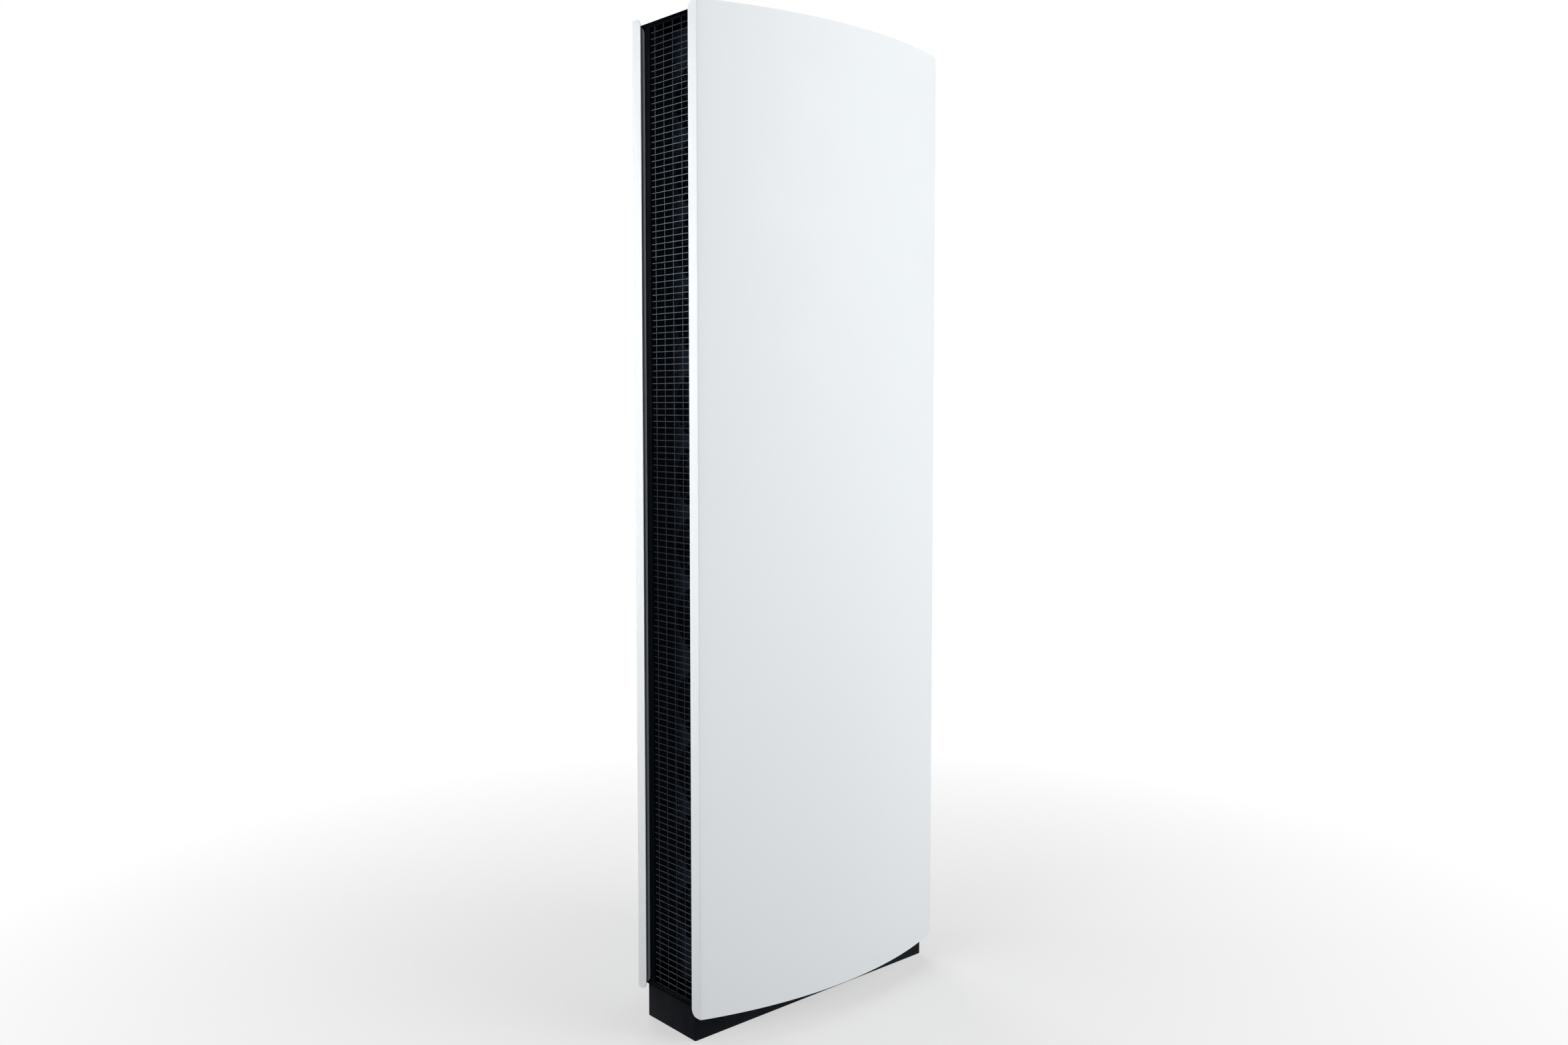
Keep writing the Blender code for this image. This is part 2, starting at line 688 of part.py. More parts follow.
def make_cable(name, points):
    """A round cable along a line of points, with its ends closed."""
    curve = bpy.data.curves.new(name, "CURVE")
    curve.dimensions = "3D"
    curve.bevel_depth = LOOM_RADIUS
    curve.bevel_resolution = 2
    curve.use_fill_caps = True
    line = curve.splines.new("POLY")
    line.points.add(len(points) - 1)
    for spot, point in zip(line.points, points):
        spot.co = (*point, 1)
    guide = bpy.data.objects.new(name + "_line", curve)
    CUTTERS.objects.link(guide)
    mesh = evaluated_mesh(guide)
    bpy.data.objects.remove(guide)
    bm = bmesh.new()
    bm.from_mesh(mesh)
    bmesh.ops.remove_doubles(bm, verts=bm.verts, dist=0.01 * MM)
    return add_part(name, mesh_from(bm, name), "black_plastic")


def make_wiring():
    """Mains loom up through the case floor, link between the boxes, and the fans' loom."""
    height = CASE_BOTTOM + PLATE + 16 * MM
    hole_x, hole_y = CABLE_HOLE
    supply_high = SUPPLY_BOX[1]
    control_low, control_high = CONTROL_BOX
    inlet_back = HALF_W + GAP - INLET_DEPTH - GAP
    left = (-1, 0, 0)
    up = (0, 0, 1)
    rear = (0, 1, 0)
    entry = height + 6 * MM
    make_cable("mains_loom", [(inlet_back, hole_y, CONTROL_Z),
                              *bend_points((hole_x, hole_y, CONTROL_Z), left, up),
                              *bend_points((hole_x, hole_y, entry), up, left),
                              (control_high[0] + GAP, hole_y, entry)])
    make_cable("supply_link", [(control_low[0] - GAP, 0, height),
                               (supply_high[0] + GAP, 0, height)])
    make_cable("fan_loom", [(FAN_LOOM_START, control_high[1] + GAP, height),
                            *bend_points((FAN_LOOM_START, FAN_LOOM_Y, height), rear, left),
                            *bend_points((FAN_LOOM_X, FAN_LOOM_Y, height), left, up),
                            (FAN_LOOM_X, FAN_LOOM_Y, FAN_LOOM_TOP)])


def make_grommet():
    """Rubber ring in the floor's cable hole, with a groove that holds the plate's edge."""
    middle = CASE_BOTTOM + PLATE / 2
    groove = PLATE / 2 + GAP
    end = groove + GROMMET_LIP
    neck = CABLE_HOLE_RADIUS - GAP
    profile = ((GROMMET_FLANGE, end), (GROMMET_FLANGE, groove), (neck, groove),
               (neck, -groove), (GROMMET_FLANGE, -groove), (GROMMET_FLANGE, -end),
               (LOOM_RADIUS + 2 * GAP, -end), (LOOM_RADIUS + 2 * GAP, end))
    mesh = bpy.data.meshes.new("cable_grommet")
    edges = [(i, (i + 1) % len(profile)) for i in range(len(profile))]
    mesh.from_pydata([(r, 0, z) for r, z in profile], edges, [])
    ring = add_part("cable_grommet", mesh, "rubber", (*CABLE_HOLE, middle))
    turn = ring.modifiers.new("turn", "SCREW")
    turn.steps = ROUND_STEPS
    turn.render_steps = ROUND_STEPS
    turn.use_merge_vertices = True
    turn.merge_threshold = 0.0001


def make_socket(name, y, hole_half, depth):
    """A rim outside the plinth and a body through its hole, as one solid."""
    outside = HALF_W + GAP
    rim_y = hole_half[0] + SOCKET_RIM
    rim_z = hole_half[1] + SOCKET_RIM
    rim = box_mesh(name, (outside, y - rim_y, CONTROL_Z - rim_z),
                   (outside + BEZEL, y + rim_y, CONTROL_Z + rim_z))
    part = add_part(name, rim, "black_plastic")
    body = box_mesh(name + "_body", (outside - depth, y - hole_half[0] + GAP,
                                     CONTROL_Z - hole_half[1] + GAP),
                    (outside + BEZEL / 2, y + hole_half[0] - GAP,
                     CONTROL_Z + hole_half[1] - GAP))
    boolean(part, add_cutter(name + "_body", body), "UNION")
    return part


def make_mains_inlet():
    inlet = make_socket("mains_inlet", INLET_Y, INLET_HALF, INLET_DEPTH)
    outside = HALF_W + GAP + BEZEL
    recess = box_mesh("inlet_recess", (outside - 17 * MM, INLET_Y - 12 * MM,
                                       CONTROL_Z - 8 * MM),
                      (outside + MM, INLET_Y + 12 * MM, CONTROL_Z + 8 * MM))
    boolean(inlet, add_cutter("inlet_recess", recess))


def make_power_switch():
    """A bezel, and a rocker that tips about the level line through its middle."""
    bezel_part = make_socket("switch_bezel", SWITCH_Y, SWITCH_HALF, SWITCH_DEPTH)
    outside = HALF_W + GAP + BEZEL
    well_y = ROCKER_HALF_WIDTH + 0.5 * MM
    well_z = ROCKER_HALF_HEIGHT + MM
    well = box_mesh("switch_well", (outside - 12 * MM, SWITCH_Y - well_y, CONTROL_Z - well_z),
                    (outside + MM, SWITCH_Y + well_y, CONTROL_Z + well_z))
    boolean(bezel_part, add_cutter("switch_well", well))
    rise = ROCKER_HALF_HEIGHT * math.tan(ROCKER_TILT)
    back = -6 * MM
    profile = ((back, -ROCKER_HALF_HEIGHT + MM), (rise + MM, -ROCKER_HALF_HEIGHT), (MM, 0),
               (rise + MM, ROCKER_HALF_HEIGHT), (back, ROCKER_HALF_HEIGHT - MM))
    rails = [((x, -ROCKER_HALF_WIDTH, z), (x, ROCKER_HALF_WIDTH, z)) for x, z in profile]
    mesh = strip_mesh("power_rocker", rails, closed=True)
    bm = bmesh.new()
    bm.from_mesh(mesh)
    bmesh.ops.holes_fill(bm, edges=bm.edges)
    rocker = add_part("power_rocker", mesh_from(bm, "power_rocker"), "black_plastic",
                      (HALF_W, SWITCH_Y, CONTROL_Z))
    rocker.rotation_euler = (0, -ROCKER_TILT, 0)


def make_speed_knob():
    """A flat turned dial on a short shaft, with a raised rib as its pointer."""
    profile = ((-8 * MM, 0), (-8 * MM, SHAFT_RADIUS), (2 * GAP, SHAFT_RADIUS),
               (2 * GAP, KNOB_RADIUS), (KNOB_FACE - MM, KNOB_RADIUS),
               (KNOB_FACE, KNOB_RADIUS - MM), (KNOB_FACE, 0))
    mesh = bpy.data.meshes.new("speed_knob")
    edges = [(i, i + 1) for i in range(len(profile) - 1)]
    mesh.from_pydata([(x, 0, r) for x, r in profile], edges, [])
    knob = add_part("speed_knob", mesh, "black_plastic", (HALF_W, KNOB_Y, CONTROL_Z))
    screw = knob.modifiers.new("turn", "SCREW")
    screw.axis = "X"
    screw.steps = ROUND_STEPS
    screw.render_steps = ROUND_STEPS
    screw.use_merge_vertices = True
    screw.merge_threshold = 0.00001
    screw.use_normal_flip = True
    pointer = box_mesh("knob_pointer", (KNOB_FACE - 2 * MM, -1.2 * MM, 3 * MM),
                       (KNOB_FACE + KNOB_RIB, 1.2 * MM, KNOB_RADIUS - 3 * MM))
    boolean(knob, add_cutter("knob_pointer", pointer, knob.location), "UNION")


# ---------------------------------------------------------------- assembly

def build():
    make_plinth()
    make_end_plates()
    make_side("left", -1)
    make_side("right", 1)
    make_wrapping_cover("front_cover", -1)
    make_wrapping_cover("back_wall", 1)
    make_panel("front_panel", -1)
    make_panel("rear_panel", 1)
    make_rails("front", -1)
    make_rails("rear", 1)
    make_fan_plate()
    make_fan_trays()
    make_impellers()
    make_shelves()
    make_filters()
    make_feet()
    make_power_units()
    make_wiring()
    make_grommet()
    make_mains_inlet()
    make_power_switch()
    make_speed_knob()


clear_scene()
PARTS = make_collection("air_purifier")
CUTTERS = make_collection("cutters")
build()
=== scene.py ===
"""Looks of the tall air purifier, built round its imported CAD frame.

Metres, +Z up, +X to the viewer's right, the front faces -Y.  Each piece is built in place
and rides on the CAD body that it belongs to.
"""

from math import atan2, cos, pi, radians, sin, sqrt

import bmesh
import bpy
from mathutils import Matrix, Vector


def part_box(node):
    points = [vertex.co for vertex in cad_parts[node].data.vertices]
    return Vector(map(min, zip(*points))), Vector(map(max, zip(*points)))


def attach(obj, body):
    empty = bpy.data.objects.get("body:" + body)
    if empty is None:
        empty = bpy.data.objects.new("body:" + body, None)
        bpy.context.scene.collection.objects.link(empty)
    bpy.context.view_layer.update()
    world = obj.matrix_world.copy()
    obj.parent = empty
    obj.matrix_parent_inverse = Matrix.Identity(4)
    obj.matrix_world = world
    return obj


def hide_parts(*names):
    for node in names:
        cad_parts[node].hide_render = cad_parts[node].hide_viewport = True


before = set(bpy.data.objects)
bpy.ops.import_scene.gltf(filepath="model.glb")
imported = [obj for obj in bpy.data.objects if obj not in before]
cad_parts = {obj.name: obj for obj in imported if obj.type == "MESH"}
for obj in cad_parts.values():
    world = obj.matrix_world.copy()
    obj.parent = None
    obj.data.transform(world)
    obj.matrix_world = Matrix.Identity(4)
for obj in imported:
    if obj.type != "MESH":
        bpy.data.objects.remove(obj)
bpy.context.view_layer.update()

MM = 0.001
CASE = "case"
QUARTER = pi / 2
EVEN = (1, 1, 1)                    # a texture that isn't stretched along any axis

# Sheet metal
SHEET = 1.5 * MM
FREE_CORNER = 15 * MM               # rounding of every free sheet corner
PANEL_BOW = 61.4 * MM               # how far the white face bows out beyond its folds
PANEL_BEND = 3 * MM
COVER_BEND = MM
BOW_STEPS = 48                      # from a fold to the middle of the bowed face
EDGE_ROUNDING = 0.35 * MM

# Welded mesh
LEVEL_WIRES = 155
LEVEL_PITCH = 12.51 * MM
UPRIGHTS = 6
UPRIGHT_PITCH = 28.8 * MM
WIRE_RADIUS = MM
UPRIGHT_RADIUS = 0.85 * MM
WELD_RADIUS = 1.15 * MM

# Fixings, from the object's middle and from the floor
RAIL_SCREWS_X = (-0.22, -0.075, 0.075, 0.22)
ROOF_SCREWS_X = (-0.3, -0.1, 0.1, 0.3)
ROOF_SCREWS_Y = (-0.066, 0.066)
WALL_SCREWS_X = (-0.31, 0.31)
WALL_SCREWS_Z = (0.12, 0.45, 0.78, 1.11, 1.44, 1.94)
KNOBS_X = (-0.3, 0.3)
KNOBS_Z = (0.13, 0.52, 1.04, 1.52, 1.95)
CATCHES_X = (-0.29, 0.29)

# Fans
STOREYS = 3
FANS_PER_STOREY = 4
FAN_PITCH = 145.5 * MM
FAN_HALF = 71.75 * MM
FAN_BORE = 68 * MM
FAN_SCREW = 67.6 * MM               # from a fan's middle to its screws, both ways
BLADES = 7

# Filters
RIM = 14 * MM
THREADS = 23
THREAD_PITCH = 24 * MM
THREAD_RADIUS = 0.6 * MM
CELL = 11.5 * MM                    # honeycomb, across a cell's flats
GRIP_INSET = 150 * MM               # a prefilter's grips, from its ends
ARROW_RISE = 130 * MM               # from a cassette's middle to its arrow
RUNNERS_X = (-0.1938, 0.107, 0.236, 0.2795, 0.3135)
RUNNER_HEIGHT = 8 * MM

# Wiring
LOOM_RADIUS = 3.5 * MM
LOOM_BEND = 20 * MM
FAN_LOOM_START = 120 * MM           # where the fan loom leaves the control unit, along X
TIE_PITCH = 120 * MM

# Studio
FLOOR_NEAR = 0.55                   # how much the floor glows right under the object
CAMERA_PLACE = (-1.9103, -2.1359, 1.2613)
CAMERA_DOWN = 3.428                 # degrees below level
CAMERA_HEADING = -41.484            # degrees from the +Y axis
LENS = 30.824
SENSOR = 36
VIEW_SHIFT = -0.0235

STAND = Matrix(((0, 0, 1, 0), (1, 0, 0, 0), (0, 1, 0, 0), (0, 0, 0, 1)))   # XY outline to YZ


# ---------------------------------------------------------------- material helpers

def add_node(mat, kind, **values):
    """A shader node; values set its inputs, or its own settings where no input has the name."""
    node = mat.node_tree.nodes.new("ShaderNode" + kind)
    for key, value in values.items():
        label = key.replace("_", " ").title()
        if label in node.inputs:
            node.inputs[label].default_value = value
        else:
            setattr(node, key, value)
    return node


def wire_up(mat, *pairs):
    """Link outputs to inputs, given in turn."""
    for source, target in zip(pairs[::2], pairs[1::2]):
        mat.node_tree.links.new(source, target)


def start_material(name, colour, roughness, metallic=0.0, specular=0.5, drift=None,
                   gloss=None):
    """A material whose tone may drift (scale, amount) and gloss vary (scale, low, high)."""
    mat = bpy.data.materials.new(name)
    mat.use_nodes = True
    sockets = shader_of(mat).inputs
    sockets["Base Color"].default_value = (*colour, 1)
    sockets["Roughness"].default_value = roughness
    sockets["Metallic"].default_value = metallic
    sockets["Specular IOR Level"].default_value = specular
    if drift:
        scale, amount = drift
        coloured(mat, noise(mat, scale), *shades(colour, 1 - amount, 1 + amount))
    if gloss:
        scale, low, high = gloss
        roughened(mat, noise(mat, scale), low, high)
    return mat


def shader_of(mat):
    return mat.node_tree.nodes["Principled BSDF"]


def stretched_place(mat, stretch=EVEN):
    """Object coordinates, scaled along each axis."""
    place = add_node(mat, "TexCoord")
    mapping = add_node(mat, "Mapping", scale=stretch)
    wire_up(mat, place.outputs["Object"], mapping.inputs["Vector"])
    return mapping.outputs["Vector"]


def textured(mat, kind, output, stretch, **values):
    texture = add_node(mat, kind, **values)
    wire_up(mat, stretched_place(mat, stretch), texture.inputs["Vector"])
    return texture.outputs[output]


def noise(mat, scale, detail=3.0, stretch=EVEN):
    return textured(mat, "TexNoise", "Fac", stretch, scale=scale, detail=detail)


def cells(mat, scale, output="Distance", stretch=EVEN):
    return textured(mat, "TexVoronoi", output, stretch, scale=scale)


def bands(mat, scale, axis, stretch=EVEN):
    return textured(mat, "TexWave", "Fac", stretch, scale=scale, wave_type="BANDS",
                    bands_direction=axis)


def channels(mat, kind, source, target):
    """The outputs of a node that takes a colour or a vector apart."""
    node = add_node(mat, kind)
    wire_up(mat, source, node.inputs[target])
    return node.outputs


def combined(mat, operation, one, other):
    node = add_node(mat, "Math", operation=operation)
    wire_up(mat, one, node.inputs[0], other, node.inputs[1])
    return node.outputs["Value"]


def spread(mat, value, low, high, start=0.3, end=0.7):
    """Map a texture value from start..end on to low..high."""
    ramp = add_node(mat, "MapRange", from_min=start, from_max=end,
                    to_min=low, to_max=high)
    wire_up(mat, value, ramp.inputs["Value"])
    return ramp.outputs["Result"]


def coloured(mat, value, dark, light):
    """Let a texture value take the base colour from dark to light."""
    mix = add_node(mat, "Mix", data_type="RGBA")
    colour_a, colour_b, mixed = mix.inputs[6], mix.inputs[7], mix.outputs[2]
    colour_a.default_value = (*dark, 1)
    colour_b.default_value = (*light, 1)
    wire_up(mat, value, mix.inputs["Factor"], mixed, shader_of(mat).inputs["Base Color"])


def roughened(mat, value, low, high, start=0.3, end=0.7):
    """Let a texture value take the roughness from low to high."""
    spreading = spread(mat, value, low, high, start, end)
    wire_up(mat, spreading, shader_of(mat).inputs["Roughness"])


def bumped(mat, height, strength, distance, before=None):
    """Bump the surface by a height texture, over an earlier bump if one is given."""
    bump = add_node(mat, "Bump", strength=strength, distance=distance)
    wire_up(mat, height, bump.inputs["Height"])
    if before:
        wire_up(mat, before, bump.inputs["Normal"])
    wire_up(mat, bump.outputs["Normal"], shader_of(mat).inputs["Normal"])
    return bump.outputs["Normal"]


def shades(colour, *amounts):
    return [tuple(channel * amount for channel in colour) for amount in amounts]


# ---------------------------------------------------------------- materials

def white_powder_coat():
    """Smooth satin paint: soft orange peel, a finer grain in it, faint drift of tone."""
    mat = start_material("white_powder_coat", (0.775, 0.808, 0.832), 0.5, specular=0.32,
                         drift=(2.2, 0.012), gloss=(9, 0.54, 0.64))
    peel = bumped(mat, noise(mat, 420, 2), 0.10, 0.3 * MM)
    bumped(mat, noise(mat, 1900, 2), 0.08, 0.08 * MM, peel)
    return mat


def black_powder_coat(name, colour, specular):
    """Fine satin black, with a little dust that settles thicker towards the floor."""
    mat = start_material(name, colour, 0.5, specular=specular, gloss=(14, 0.44, 0.58))
    height = channels(mat, "SeparateXYZ", stretched_place(mat), "Vector")["Z"]
    low_down = spread(mat, height, 0.4, 0.06, 0.0, 0.35)
    specks = spread(mat, noise(mat, 34, 8), 0.0, 1.0, 0.42, 0.75)
    dust = combined(mat, "MULTIPLY", low_down, specks)
    coloured(mat, dust, *shades(colour, 1, 2.6))
    bumped(mat, noise(mat, 1500, 3), 0.16, 0.12 * MM)
    return mat


def grey_powder_coat():
    mat = start_material("grey_powder_coat", (0.112, 0.122, 0.134), 0.5, specular=0.35,
                         drift=(7, 0.05), gloss=(22, 0.44, 0.56))
    bumped(mat, noise(mat, 1500, 3), 0.16, 0.12 * MM)
    return mat


def coated_wire():
    """Drawn wire under a thin dark coat, slightly worn to the metal."""
    colour = (0.0245, 0.0300, 0.0365)
    mat = start_material("coated_wire", colour, 0.3, 0.9, 0.4, gloss=(160, 0.24, 0.36))
    wear = spread(mat, noise(mat, 60, 5), 0, 1, 0.35, 0.7)
    coloured(mat, wear, *shades(colour, 0.8, 1.25))
    bumped(mat, noise(mat, 900, 3), 0.06, 0.1 * MM)
    return mat


def moulded_plastic(name, colour, roughness, specular=0.4):
    """Glass-filled moulding: faint flow marks and a fine spark-eroded grain."""
    mat = start_material(name, colour, roughness, specular=specular,
                         gloss=(60, roughness - 0.07, roughness + 0.08))
    flow = spread(mat, noise(mat, 26, 4, (1, 1, 0.25)), 0, 1)
    coloured(mat, flow, *shades(colour, 0.8, 1.25))
    bumped(mat, cells(mat, 1700), 0.14, 0.1 * MM)
    return mat


def zinc_sheet():
    """Hot-dip galvanised sheet with its crystal flowers."""
    mat = start_material("zinc_sheet", (0.5, 0.51, 0.52), 0.42, 0.9)
    crystal = cells(mat, 95, "Color", (1, 1.3, 1.1))
    shade = channels(mat, "SeparateColor", crystal, "Color")
    coloured(mat, shade["Red"], (0.40, 0.41, 0.43), (0.60, 0.61, 0.62))
    roughened(mat, shade["Green"], 0.32, 0.5, 0, 1)
    bumped(mat, noise(mat, 500, 4), 0.1, 0.1 * MM)
    return mat


def brushed_aluminium():
    """Extruded frame with drawing lines along its length."""
    mat = start_material("brushed_aluminium", (0.62, 0.62, 0.63), 0.36, 0.95)
    lines = noise(mat, 240, 4, (1, 1, 0.03))
    coloured(mat, lines, (0.52, 0.52, 0.53), (0.70, 0.70, 0.71))
    roughened(mat, lines, 0.28, 0.46)
    bumped(mat, lines, 0.12, 0.1 * MM)
    return mat


def plated_steel(name, colour, roughness):
    """Plated or blackened screws, studs, nuts and welds."""
    mat = start_material(name, colour, roughness, 1.0, drift=(180, 0.12),
                         gloss=(420, roughness - 0.08, roughness + 0.1))
    bumped(mat, noise(mat, 1300, 3), 0.1, 0.05 * MM)
    return mat


def filter_paper():
    """Glass-fibre paper: off-white, felted, with long fibres."""
    colour = (0.78, 0.77, 0.73)
    mat = start_material("filter_paper", colour, 0.95, specular=0.2)
    fibres = noise(mat, 700, 8, (1, 1, 0.35))
    coloured(mat, spread(mat, fibres, 0, 1), *shades(colour, 0.86, 1.06))
    bumped(mat, fibres, 0.5, 0.3 * MM)
    return mat


def carbon_granules():
    """Crushed activated carbon: rough black grains, a few with a bright broken face."""
    mat = start_material("carbon_granules", (0.015, 0.015, 0.016), 0.8)
    shade = channels(mat, "SeparateColor", cells(mat, 420, "Color"), "Color")
    coloured(mat, shade["Red"], (0.006, 0.006, 0.006), (0.034, 0.034, 0.036))
    roughened(mat, shade["Blue"], 0.28, 0.95, 0, 0.4)
    bumped(mat, cells(mat, 420), 0.9, 1.2 * MM)
    return mat


def open_cell_foam():
    """Reticulated foam: dark pores between lighter struts."""
    mat = start_material("open_cell_foam", (0.06, 0.06, 0.065), 0.95, specular=0.15)
    pores = cells(mat, 520)
    struts = spread(mat, pores, 0, 1, 0.15, 0.6)
    coloured(mat, struts, (0.008, 0.008, 0.009), (0.085, 0.085, 0.092))
    bumped(mat, pores, 0.9, MM)
    return mat


def black_rubber():
    mat = start_material("black_rubber", (0.018, 0.018, 0.019), 0.82, specular=0.3,
                         drift=(40, 0.25))
    bumped(mat, noise(mat, 700, 5), 0.3, 0.2 * MM)
    return mat


def sealing_foam():
    """Closed-cell gasket strip with small bubbles at its skin."""
    mat = start_material("sealing_foam", (0.02, 0.02, 0.021), 0.9, specular=0.25,
                         drift=(90, 0.3))
    bumped(mat, cells(mat, 1100), 0.45, 0.3 * MM)
    return mat


def woven_webbing():
    """Flat strap: warp and weft as crossed bands."""
    mat = start_material("woven_webbing", (0.03, 0.03, 0.034), 0.85, specular=0.2)
    weave = combined(mat, "MULTIPLY", bands(mat, 260, "X"), bands(mat, 260, "Z"))
    coloured(mat, weave, (0.012, 0.012, 0.014), (0.06, 0.06, 0.066))
    bumped(mat, weave, 0.7, 0.4 * MM)
    return mat


def braided_sleeve():
    """Cable sleeve: two sets of slanting threads over and under each other."""
    mat = start_material("braided_sleeve", (0.02, 0.02, 0.022), 0.6, specular=0.35)
    other_way = bands(mat, 150, "DIAGONAL", (-1, 1, 1))
    braid = combined(mat, "MAXIMUM", bands(mat, 150, "DIAGONAL"), other_way)
    coloured(mat, braid, (0.006, 0.006, 0.007), (0.035, 0.035, 0.038))
    bumped(mat, braid, 0.6, 0.3 * MM)
    return mat


def printed_white():
    """Screen-printed marks, slightly broken up where the grain shows through."""
    mat = start_material("printed_white", (0.6, 0.6, 0.6), 0.6, drift=(900, 0.2))
    bumped(mat, noise(mat, 1500, 2), 0.1, 0.05 * MM)
    return mat


WHITE = white_powder_coat()
BLACK = black_powder_coat("black_powder_coat", (0.0011, 0.0016, 0.0027), 0.01)
# A lighter, bluer copy of the case's black for the covers' inner faces and the fan bulkhead:
# painted shade, a dark tone that stands in for the shade inside the case.
INSIDE_PAINTED_SHADE = black_powder_coat("black_inside_painted_shade", (0.0155, 0.0215, 0.033), 0.02)
# The plinth's own black coat, made lighter than the case's black: the extra lightness is painted
# sheen, the floor's reflection along the plinth.
PLINTH_BLACK_PAINTED_SHEEN = black_powder_coat("plinth_coat_painted_sheen", (0.0036, 0.0045, 0.0068), 0.05)
GREY = grey_powder_coat()
WIRE = coated_wire()
FAN_PLASTIC = moulded_plastic("fan_plastic", (0.0090, 0.0122, 0.0187), 0.6, 0.03)
PLASTIC = moulded_plastic("control_plastic", (0.012, 0.012, 0.013), 0.45)
ZINC = zinc_sheet()
ALUMINIUM = brushed_aluminium()
STEEL = plated_steel("plated_steel", (0.58, 0.58, 0.56), 0.3)
STEEL_DULL = plated_steel("weld_metal", (0.16, 0.16, 0.17), 0.38)
BLACK_SCREW = plated_steel("blackened_steel", (0.012, 0.012, 0.013), 0.45)
PAPER = filter_paper()
THREAD = moulded_plastic("hot_melt_thread", (0.55, 0.53, 0.46), 0.5)
CARBON = carbon_granules()
BLACK_FRAME = moulded_plastic("cassette_frame", (0.016, 0.016, 0.017), 0.5)
FOAM = open_cell_foam()
RUBBER = black_rubber()
GASKET = sealing_foam()
WEBBING = woven_webbing()
SLEEVE = braided_sleeve()
PRINT = printed_white()


# ---------------------------------------------------------------- building helpers

def finished(bm, name):
    bmesh.ops.recalc_face_normals(bm, faces=bm.faces)
    mesh = bpy.data.meshes.new(name)
    bm.to_mesh(mesh)
    bm.free()
    return mesh


def new_object(name, data):
    made = bpy.data.objects.new(name, data)
    bpy.context.scene.collection.objects.link(made)
    return made


def add_piece(name, shape, material, body, replaces=(), location=(0, 0, 0), sharp=32):
    """Put a mesh or a bmesh in the scene as a piece that rides on a body.

    It is shaded smooth up to an angle, and takes the given material if its mesh has none."""
    mesh = finished(shape, name) if isinstance(shape, bmesh.types.BMesh) else shape
    piece = new_object(name, mesh)
    piece.location = location
    if not mesh.materials:
        mesh.materials.append(material)
    mesh.shade_smooth()
    mesh.set_sharp_from_angle(angle=radians(sharp))
    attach(piece, body)
    if replaces:
        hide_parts(*replaces)
    return piece


def facing(point, way):
    """The matrix that puts something made along +Z at a point, looking along a direction."""
    turn = Vector(way).to_track_quat("Z", "Y").to_matrix().to_4x4()
    return Matrix.Translation(Vector(point)) @ turn


def box_into(bm, low, high, bevel=0.0):
    """Add a box between two corners, with its edges rounded if a bevel is given."""
    low, high = Vector(low), Vector(high)
    place = Matrix.Translation((low + high) / 2) @ Matrix.Diagonal((*(high - low), 1))
    made = bmesh.ops.create_cube(bm, size=1, matrix=place)
    if bevel:
        edges = {edge for vert in made["verts"] for edge in vert.link_edges}
        bmesh.ops.bevel(bm, geom=list(edges), offset=bevel, segments=2, affect="EDGES",
                        profile=0.5)


def block_into(bm, origin, low, high, bevel):
    """Add a box whose corners and bevel are in millimetres, the corners from an origin."""
    origin = Vector(origin)
    box_into(bm, origin + Vector(low) * MM, origin + Vector(high) * MM, bevel * MM)


def rod_into(bm, radius, start, end, steps=24, end_radius=None):
    """Add a capped cylinder, or a cone if it has another radius at its end."""
    start, end = Vector(start), Vector(end)
    bmesh.ops.create_cone(bm, cap_ends=True, segments=steps, radius1=radius,
                          radius2=radius if end_radius is None else end_radius,
                          depth=(end - start).length,
                          matrix=facing((start + end) / 2, end - start))


def loft_into(bm, rings, closed=False, caps=False, place=Matrix()):
    """Join rings of equally many points with faces, one ring to the next."""
    loops = [[bm.verts.new(place @ Vector(point)) for point in ring] for ring in rings]
    pairs = list(zip(loops, loops[1:]))
    if closed:
        pairs.append((loops[-1], loops[0]))
    count = len(loops[0])
    for a, b in pairs:
        for i in range(count):
            j = (i + 1) % count
            bm.faces.new((a[i], a[j], b[j], b[i]))
    if caps:
        bm.faces.new(loops[0])
        bm.faces.new(loops[-1])


def lofted(rings, **how):
    bm = bmesh.new()
    loft_into(bm, rings, **how)
    return bm


def shell_into(bm, sides):
    """Two equal grids of points, one behind the other, as one closed shell."""
    grids = [[[bm.verts.new(point) for point in row] for row in side] for side in sides]
    rims = []
    for grid in grids:
        for a, b in zip(grid, grid[1:]):
            for i in range(len(a) - 1):
                bm.faces.new((a[i], a[i + 1], b[i + 1], b[i]))
        rims.append([*grid[0], *(row[-1] for row in grid[1:-1]), *reversed(grid[-1]),
                     *(row[0] for row in grid[-2:0:-1])])
    first, last = rims
    for i in range(len(first)):
        bm.faces.new((first[i - 1], first[i], last[i], last[i - 1]))


def arc(centre, radius, start, turn, steps):
    """Pairs along an arc in a plane, from an angle on, with both its ends."""
    angles = [start + turn * i / steps for i in range(steps + 1)]
    return [(centre[0] + radius * cos(angle), centre[1] + radius * sin(angle))
            for angle in angles]


def outline(reach, steps, centre=(0, 0)):
    """Pairs round a centre; the reach is a number or a function of the angle."""
    pairs = []
    for i in range(steps):
        angle = 2 * pi * i / steps
        far = reach(angle) if callable(reach) else reach
        pairs.append((centre[0] + far * cos(angle), centre[1] + far * sin(angle)))
    return pairs


def stood_at(x, pairs):
    """Pairs as points of the YZ plane at x."""
    return [(x, a, b) for a, b in pairs]


def x_ring(x, reach, steps, centre=(0, 0)):
    return stood_at(x, outline(reach, steps, centre))


def z_rings(profile, steps=36):
    """Level outlines round the Z axis, from (z, reach) pairs."""
    return [[(a, b, z) for a, b in outline(reach, steps)] for z, reach in profile]


